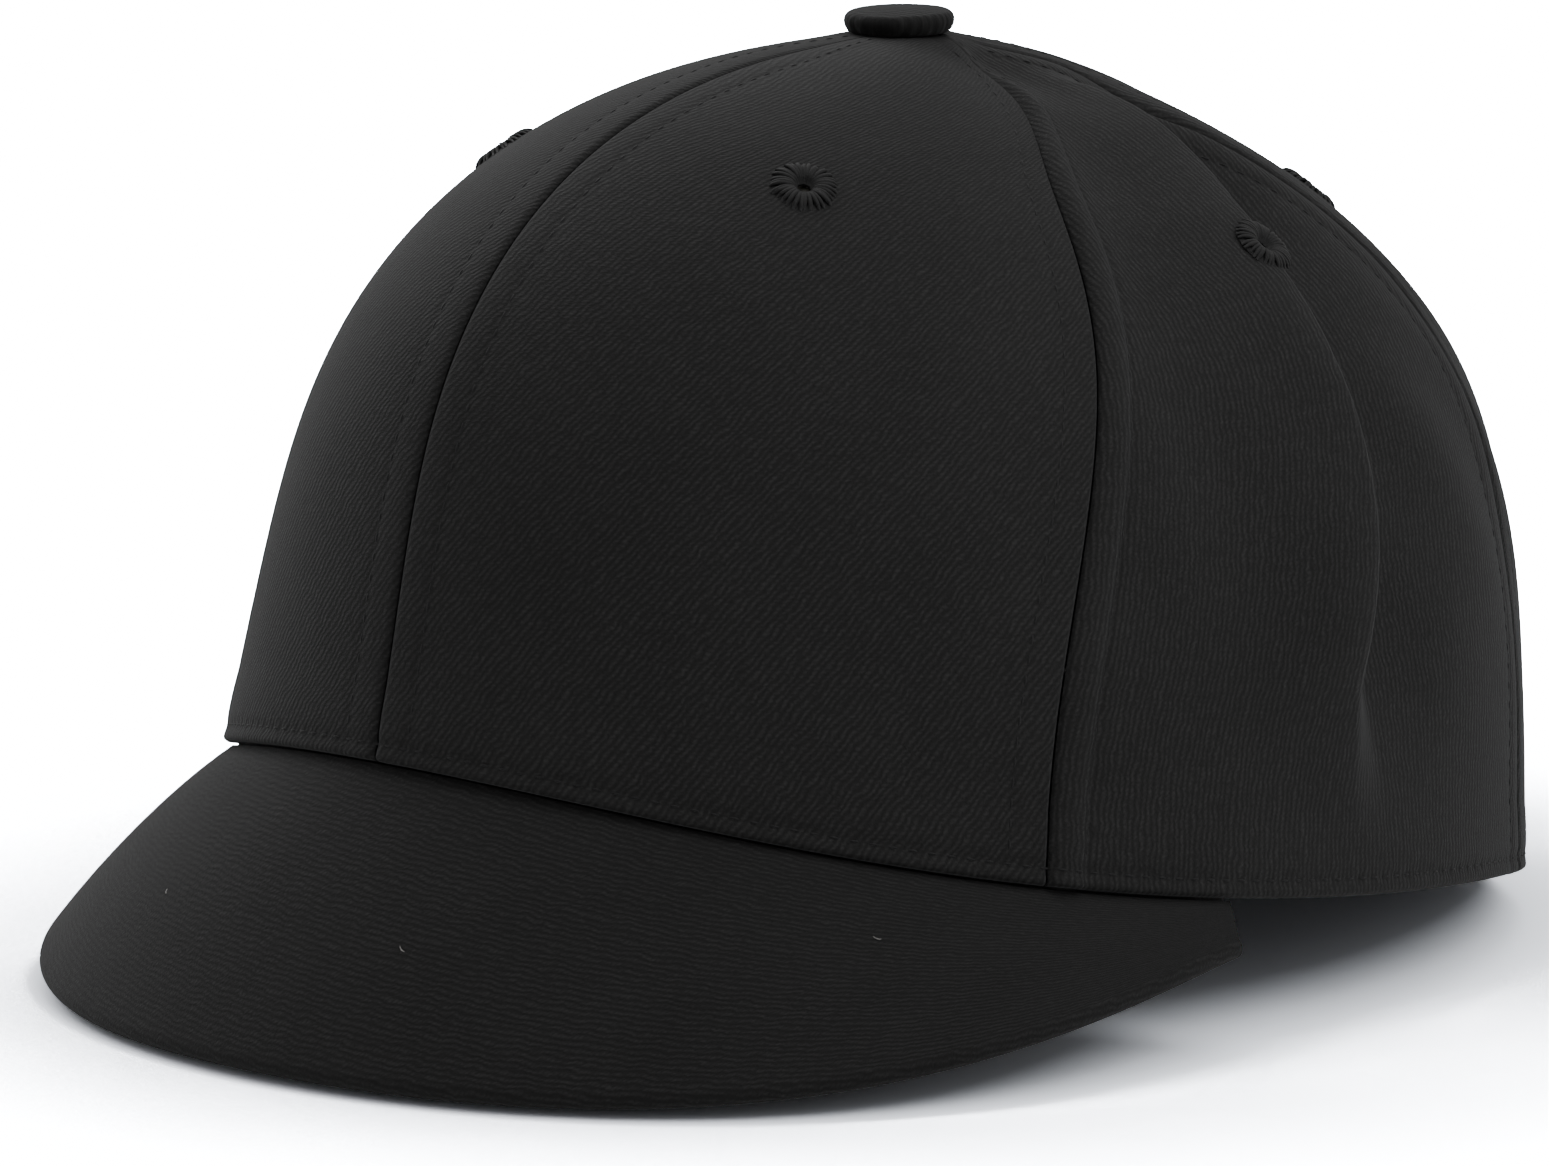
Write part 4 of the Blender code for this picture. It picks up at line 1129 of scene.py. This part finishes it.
# ---------------------------------------------------------------- protective insert
def insert_grid(inset, drop, lift, columns, steps):
    theta = np.linspace(0, 2 * math.pi, columns, endpoint=False)[None, :]
    lower = 0.15 + 0.10 * np.sin(theta) ** 2 + lift
    u = lower + (0.985 - lower) * np.linspace(0, 1, steps)[:, None] ** 0.9
    narrower = inset - SHELL_INSET[1] * np.cos(2 * theta)
    return theta + 0 * u, u, base(theta + 0 * u, u, narrower, drop)


def dome(name, inset, drop, thickness, lift, look, grooves=0.0):
    """An outer and an inner skin with a rounded lower edge, closed at the top."""
    columns, steps = 160, 90
    theta, u, outer = insert_grid(inset, drop, lift, columns, steps)
    _, _, inner = insert_grid(inset + thickness, drop + thickness, lift, columns, steps)
    if grooves:
        channel = sum(np.exp(-(((theta - a + math.pi) % (2 * math.pi) - math.pi) * 0.06 / 0.003) ** 2)
                      for a in np.radians([35, 90, 145, 215, 270, 325]))
        channel = channel * smoothstep(u, 0.3, 0.42) * (1 - smoothstep(u, 0.80, 0.90))
        inner = inner + (outer - inner) * (grooves * channel)[..., None]
    edge = []
    for k in np.linspace(0, math.pi, 9)[1:-1]:
        middle, half = (outer[0] + inner[0]) / 2, (outer[0] - inner[0]) / 2
        drop_down = np.zeros_like(middle)
        drop_down[:, 2] = -0.45 * thickness * math.sin(k)
        edge.append(middle - half * math.cos(k) + drop_down)
    rows = np.concatenate([inner[::-1], np.array(edge), outer])
    ring = np.arange(columns)
    quads = grid_faces(len(rows), columns, True)
    verts = np.concatenate([rows.reshape(-1, 3), inner[-1].mean(0)[None], outer[-1].mean(0)[None]])
    bottom, top = len(verts) - 2, len(verts) - 1
    last = (len(rows) - 1) * columns
    nxt = (ring + 1) % columns
    inner_cap = np.stack([nxt, ring, np.full(columns, bottom)], -1)
    outer_cap = np.stack([last + ring, last + nxt, np.full(columns, top)], -1)
    made = new_mesh(name, verts, quads, look)
    add_triangles(made, np.concatenate([inner_cap, outer_cap]))
    return made


def add_triangles(obj, triangles):
    """Adds faces between existing points."""
    shape = bmesh.new()
    shape.from_mesh(obj.data)
    shape.verts.ensure_lookup_table()
    for a, b, c in triangles.tolist():
        face = shape.faces.new((shape.verts[a], shape.verts[b], shape.verts[c]))
        face.smooth = True
    shape.to_mesh(obj.data)
    shape.free()


def build_insert():
    shell = dome("hard_shell_moulding", SHELL_INSET[0], SHELL_DROP, SHELL, 0.0, LOOK["abs"])
    liner = dome("foam_liner_pad", SHELL_INSET[0] + SHELL + 2 * GAP, SHELL_DROP + SHELL + 2 * GAP,
                 FOAM, 0.012, LOOK["foam"], 0.35)
    cutters = []
    vents = [(x, y) for x in (-0.026, 0.0, 0.026) for y in (-0.052, 0.040)]
    for number, (x, y) in enumerate(vents):
        bpy.ops.mesh.primitive_cylinder_add(vertices=40, radius=1.0, depth=0.06)
        slot = bpy.context.object
        slot.name = f"vent_{number}"
        slot.data.transform(Matrix.Translation((SHIFT[0] + x, SHIFT[1] + y, SHIFT[2] + 0.115))
                            @ Matrix.Diagonal((0.0042, 0.012, 1.0, 1.0)))
        cutters.append(slot)
        for body in (shell, liner):
            hole = body.modifiers.new(slot.name, "BOOLEAN")
            hole.operation = "DIFFERENCE"
            hole.solver = "EXACT"
            hole.object = slot
    apply_modifiers(shell)
    apply_modifiers(liner)
    for slot in cutters:
        bpy.data.objects.remove(slot)
    for piece, node, slot in ((shell, "hard_shell", "abs"), (liner, "foam_liner", "foam")):
        shade_smooth(piece.data)
        piece.data.set_sharp_from_angle(angle=math.radians(40))
        stand_in(piece, "insert", node)
    build_crown_pad()


def build_crown_pad():
    """A knit-covered pad, swelled by a short cloth simulation between its level faces."""
    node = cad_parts["crown_pad"]
    pad = bpy.data.objects.new("crown_pad_cushion", node.data.copy())
    bpy.context.scene.collection.objects.link(pad)
    pad.data.materials.clear()
    pad.data.materials.append(LOOK["pad"])
    remesh = pad.modifiers.new("remesh", "REMESH")
    remesh.mode = "VOXEL"
    remesh.voxel_size = 0.0014
    apply_modifiers(pad)
    swell(pad)
    round_up = pad.modifiers.new("smooth", "SMOOTH")
    round_up.factor = 0.5
    round_up.iterations = 6
    finer = pad.modifiers.new("finer", "SUBSURF")
    finer.levels = finer.render_levels = 1
    apply_modifiers(pad)
    layer = pad.data.uv_layers.new(name="cloth")
    index = np.zeros(len(pad.data.loops), np.int32)
    pad.data.loops.foreach_get("vertex_index", index)
    layer.data.foreach_set("uv", vertices(pad.data)[index][:, :2].ravel())
    shade_smooth(pad.data)
    stand_in(pad, "insert", "crown_pad")


def swell(pad):
    """Cloth with inner pressure. No point moves further than the limit."""
    limit = 0.0007
    start = vertices(pad.data)
    cloth = pad.modifiers.new("cloth", "CLOTH")
    cloth.settings.quality = 5
    cloth.settings.mass = 0.15
    cloth.settings.tension_stiffness = 20
    cloth.settings.use_pressure = True
    cloth.settings.uniform_pressure_force = 4.0
    cloth.settings.effector_weights.gravity = 0.0
    cloth.collision_settings.use_collision = False
    scene = bpy.context.scene
    for number in range(1, 16):
        scene.frame_set(number)
    graph = bpy.context.evaluated_depsgraph_get()
    move = vertices(pad.evaluated_get(graph).data) - start
    size = np.linalg.norm(move, axis=-1, keepdims=True)
    move = move * np.minimum(1.0, limit / np.maximum(size, 1e-9))
    pad.modifiers.remove(cloth)
    pad.data.vertices.foreach_set("co", (start + move).ravel())
    scene.frame_set(1)


# ---------------------------------------------------------------- CAD nodes that stay
def finish_cad_nodes():
    for node, look in (("strap_loop", "nylon"), ("button_rivet", "steel"), ("visor_board", "board")):
        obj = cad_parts[node]
        obj.data.materials.clear()
        obj.data.materials.append(LOOK[look])
        shade_smooth(obj.data)


def add_lint():
    """A few pale fibres that have settled on the peak."""
    paths = []
    for theta, share, length, turn in ((0.19, 0.62, 0.0013, 1.2), (-0.28, 0.60, 0.0009, 0.3),
                                       (0.83, 0.42, 0.0012, 2.2)):
        start = visor(np.array([theta]), np.array([share]))[0]
        normal = visor_normal(np.array([theta]), np.array([share]))[0]
        side = unit(np.cross(normal, np.array([math.cos(turn), math.sin(turn), 0.3])))
        t = np.linspace(-1, 1, 7)[:, None]
        bend = unit(np.cross(side, normal))
        paths.append(start + side * t * length / 2 + bend * 0.0002 * t ** 2 + normal * 0.00022)
    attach(tubes("lint_fibres", paths, 0.00005, LOOK["lint"]), "cap")


# ---------------------------------------------------------------- floor, light, camera
def backdrop():
    """A pale floor. To the camera it is white where it lies open. Close round the cap, ambient occlusion
    darkens its colour: a painted shadow on top of the lamps' real shadow.
    """
    mesh = bpy.data.meshes.new("floor")
    size = 6.0
    mesh.from_pydata([(-size, -size, 0), (size, -size, 0), (size, size, 0), (-size, size, 0)], [],
                     [(0, 1, 2, 3)])
    floor = bpy.data.objects.new("floor", mesh)
    bpy.context.scene.collection.objects.link(floor)
    n = Nodes("pale_floor")
    n.set(Base_Color=(0.9, 0.9, 0.9, 1.0), Roughness=0.9, Specular_IOR_Level=0.1)
    # painted shadow: close round the cap, ambient occlusion drops the floor's colour from open white to
    # a deep grey
    painted_shadow_ao = n.add("ShaderNodeAmbientOcclusion", samples=12)
    painted_shadow_ao.inputs["Distance"].default_value = FLOOR_REACH
    far = n.math("MULTIPLY_ADD", painted_shadow_ao.outputs["AO"], 3.333, -2.333)
    clear = n.math("POWER", n.math("MAXIMUM", far, 0.0), 4.0)
    tone = n.math("MULTIPLY_ADD", clear, FLOOR_GAIN, FLOOR_IN_PAINTED_SHADOW)
    floor_colour_painted_shadow = n.add("ShaderNodeCombineColor")
    for channel, share in zip(floor_colour_painted_shadow.inputs, (0.94, 0.98, 1.06)):
        n.feed(channel, n.math("MULTIPLY", tone, share))
    paper = n.add("ShaderNodeBsdfDiffuse")
    n.feed(paper.inputs["Color"], floor_colour_painted_shadow.outputs[0])
    seen = n.add("ShaderNodeLightPath").outputs["Is Camera Ray"]
    mix = n.add("ShaderNodeMixShader")
    n.feed(mix.inputs[0], seen)
    n.feed(mix.inputs[1], n.shader.outputs[0])
    n.feed(mix.inputs[2], paper.outputs[0])
    n.feed(n.tree.nodes["Material Output"].inputs["Surface"], mix.outputs[0])
    floor.data.materials.append(n.material)


def area_light(name, place, size, power):
    """A rectangular lamp that faces the crown's middle."""
    data = bpy.data.lights.new(name, "AREA")
    data.shape = "RECTANGLE"
    data.size, data.size_y = size
    data.energy = power
    light = bpy.data.objects.new(name, data)
    light.location = place
    way = Vector((0, 0, 0.08)) - Vector(place)
    light.rotation_euler = way.to_track_quat("-Z", "Y").to_euler()
    bpy.context.scene.collection.objects.link(light)


def lights():
    """Four soft lamps and a dim, even sky that shows as white to the camera."""
    world = bpy.data.worlds.new("studio")
    bpy.context.scene.world = world
    world.use_nodes = True
    tree = world.node_tree
    sky = tree.nodes["Background"]
    sky.inputs["Color"].default_value = (1.0, 0.99, 0.98, 1.0)
    sky.inputs["Strength"].default_value = WORLD
    white = tree.nodes.new("ShaderNodeBackground")
    white.inputs["Strength"].default_value = BACKGROUND
    seen = tree.nodes.new("ShaderNodeLightPath")
    mix = tree.nodes.new("ShaderNodeMixShader")
    tree.links.new(seen.outputs["Is Camera Ray"], mix.inputs[0])
    tree.links.new(sky.outputs[0], mix.inputs[1])
    tree.links.new(white.outputs[0], mix.inputs[2])
    tree.links.new(mix.outputs[0], tree.nodes["World Output"].inputs["Surface"])
    area_light("left_bank", (-1.25, 0.15, 0.95), (1.3, 1.0), 13.5)
    area_light("top_bank", (0.1, 0.25, 1.5), (1.4, 1.2), 9.0)
    area_light("front_high_bank", (0.60, -0.62, 1.25), (1.2, 1.0), 2.6)
    area_light("right_bank", (1.15, 0.30, 1.20), (0.9, 0.9), 8.5)


def camera():
    """The photo's view: from the wearer's left front, a little above, through a long lens."""
    azimuth, elevation = math.radians(42.74), math.radians(9.67)
    distance, lens, sensor = 1.56, 240.45, 36.0
    back = Vector((math.sin(azimuth) * math.cos(elevation),
                   -math.cos(azimuth) * math.cos(elevation), math.sin(elevation)))
    right = Vector((math.cos(azimuth), math.sin(azimuth), 0))
    up = back.cross(right)
    middle = Vector(SHIFT) + Vector((0, 0, 0.0624))
    eye = middle + back * distance
    aim = middle - right * 0.01643 - up * 0.00967
    data = bpy.data.cameras.new("camera")
    data.lens, data.sensor_width = lens, sensor
    made = bpy.data.objects.new("camera", data)
    made.location = eye
    made.rotation_euler = (aim - eye).to_track_quat("-Z", "Y").to_euler()
    bpy.context.scene.collection.objects.link(made)
    bpy.context.scene.camera = made


def main():
    build_panels()
    crown_stitching()
    build_eyelets()
    build_button()
    build_visor()
    build_lining()
    build_sweatband()
    build_binding()
    build_strap()
    build_insert()
    finish_cad_nodes()
    add_lint()
    backdrop()
    lights()
    camera()


main()
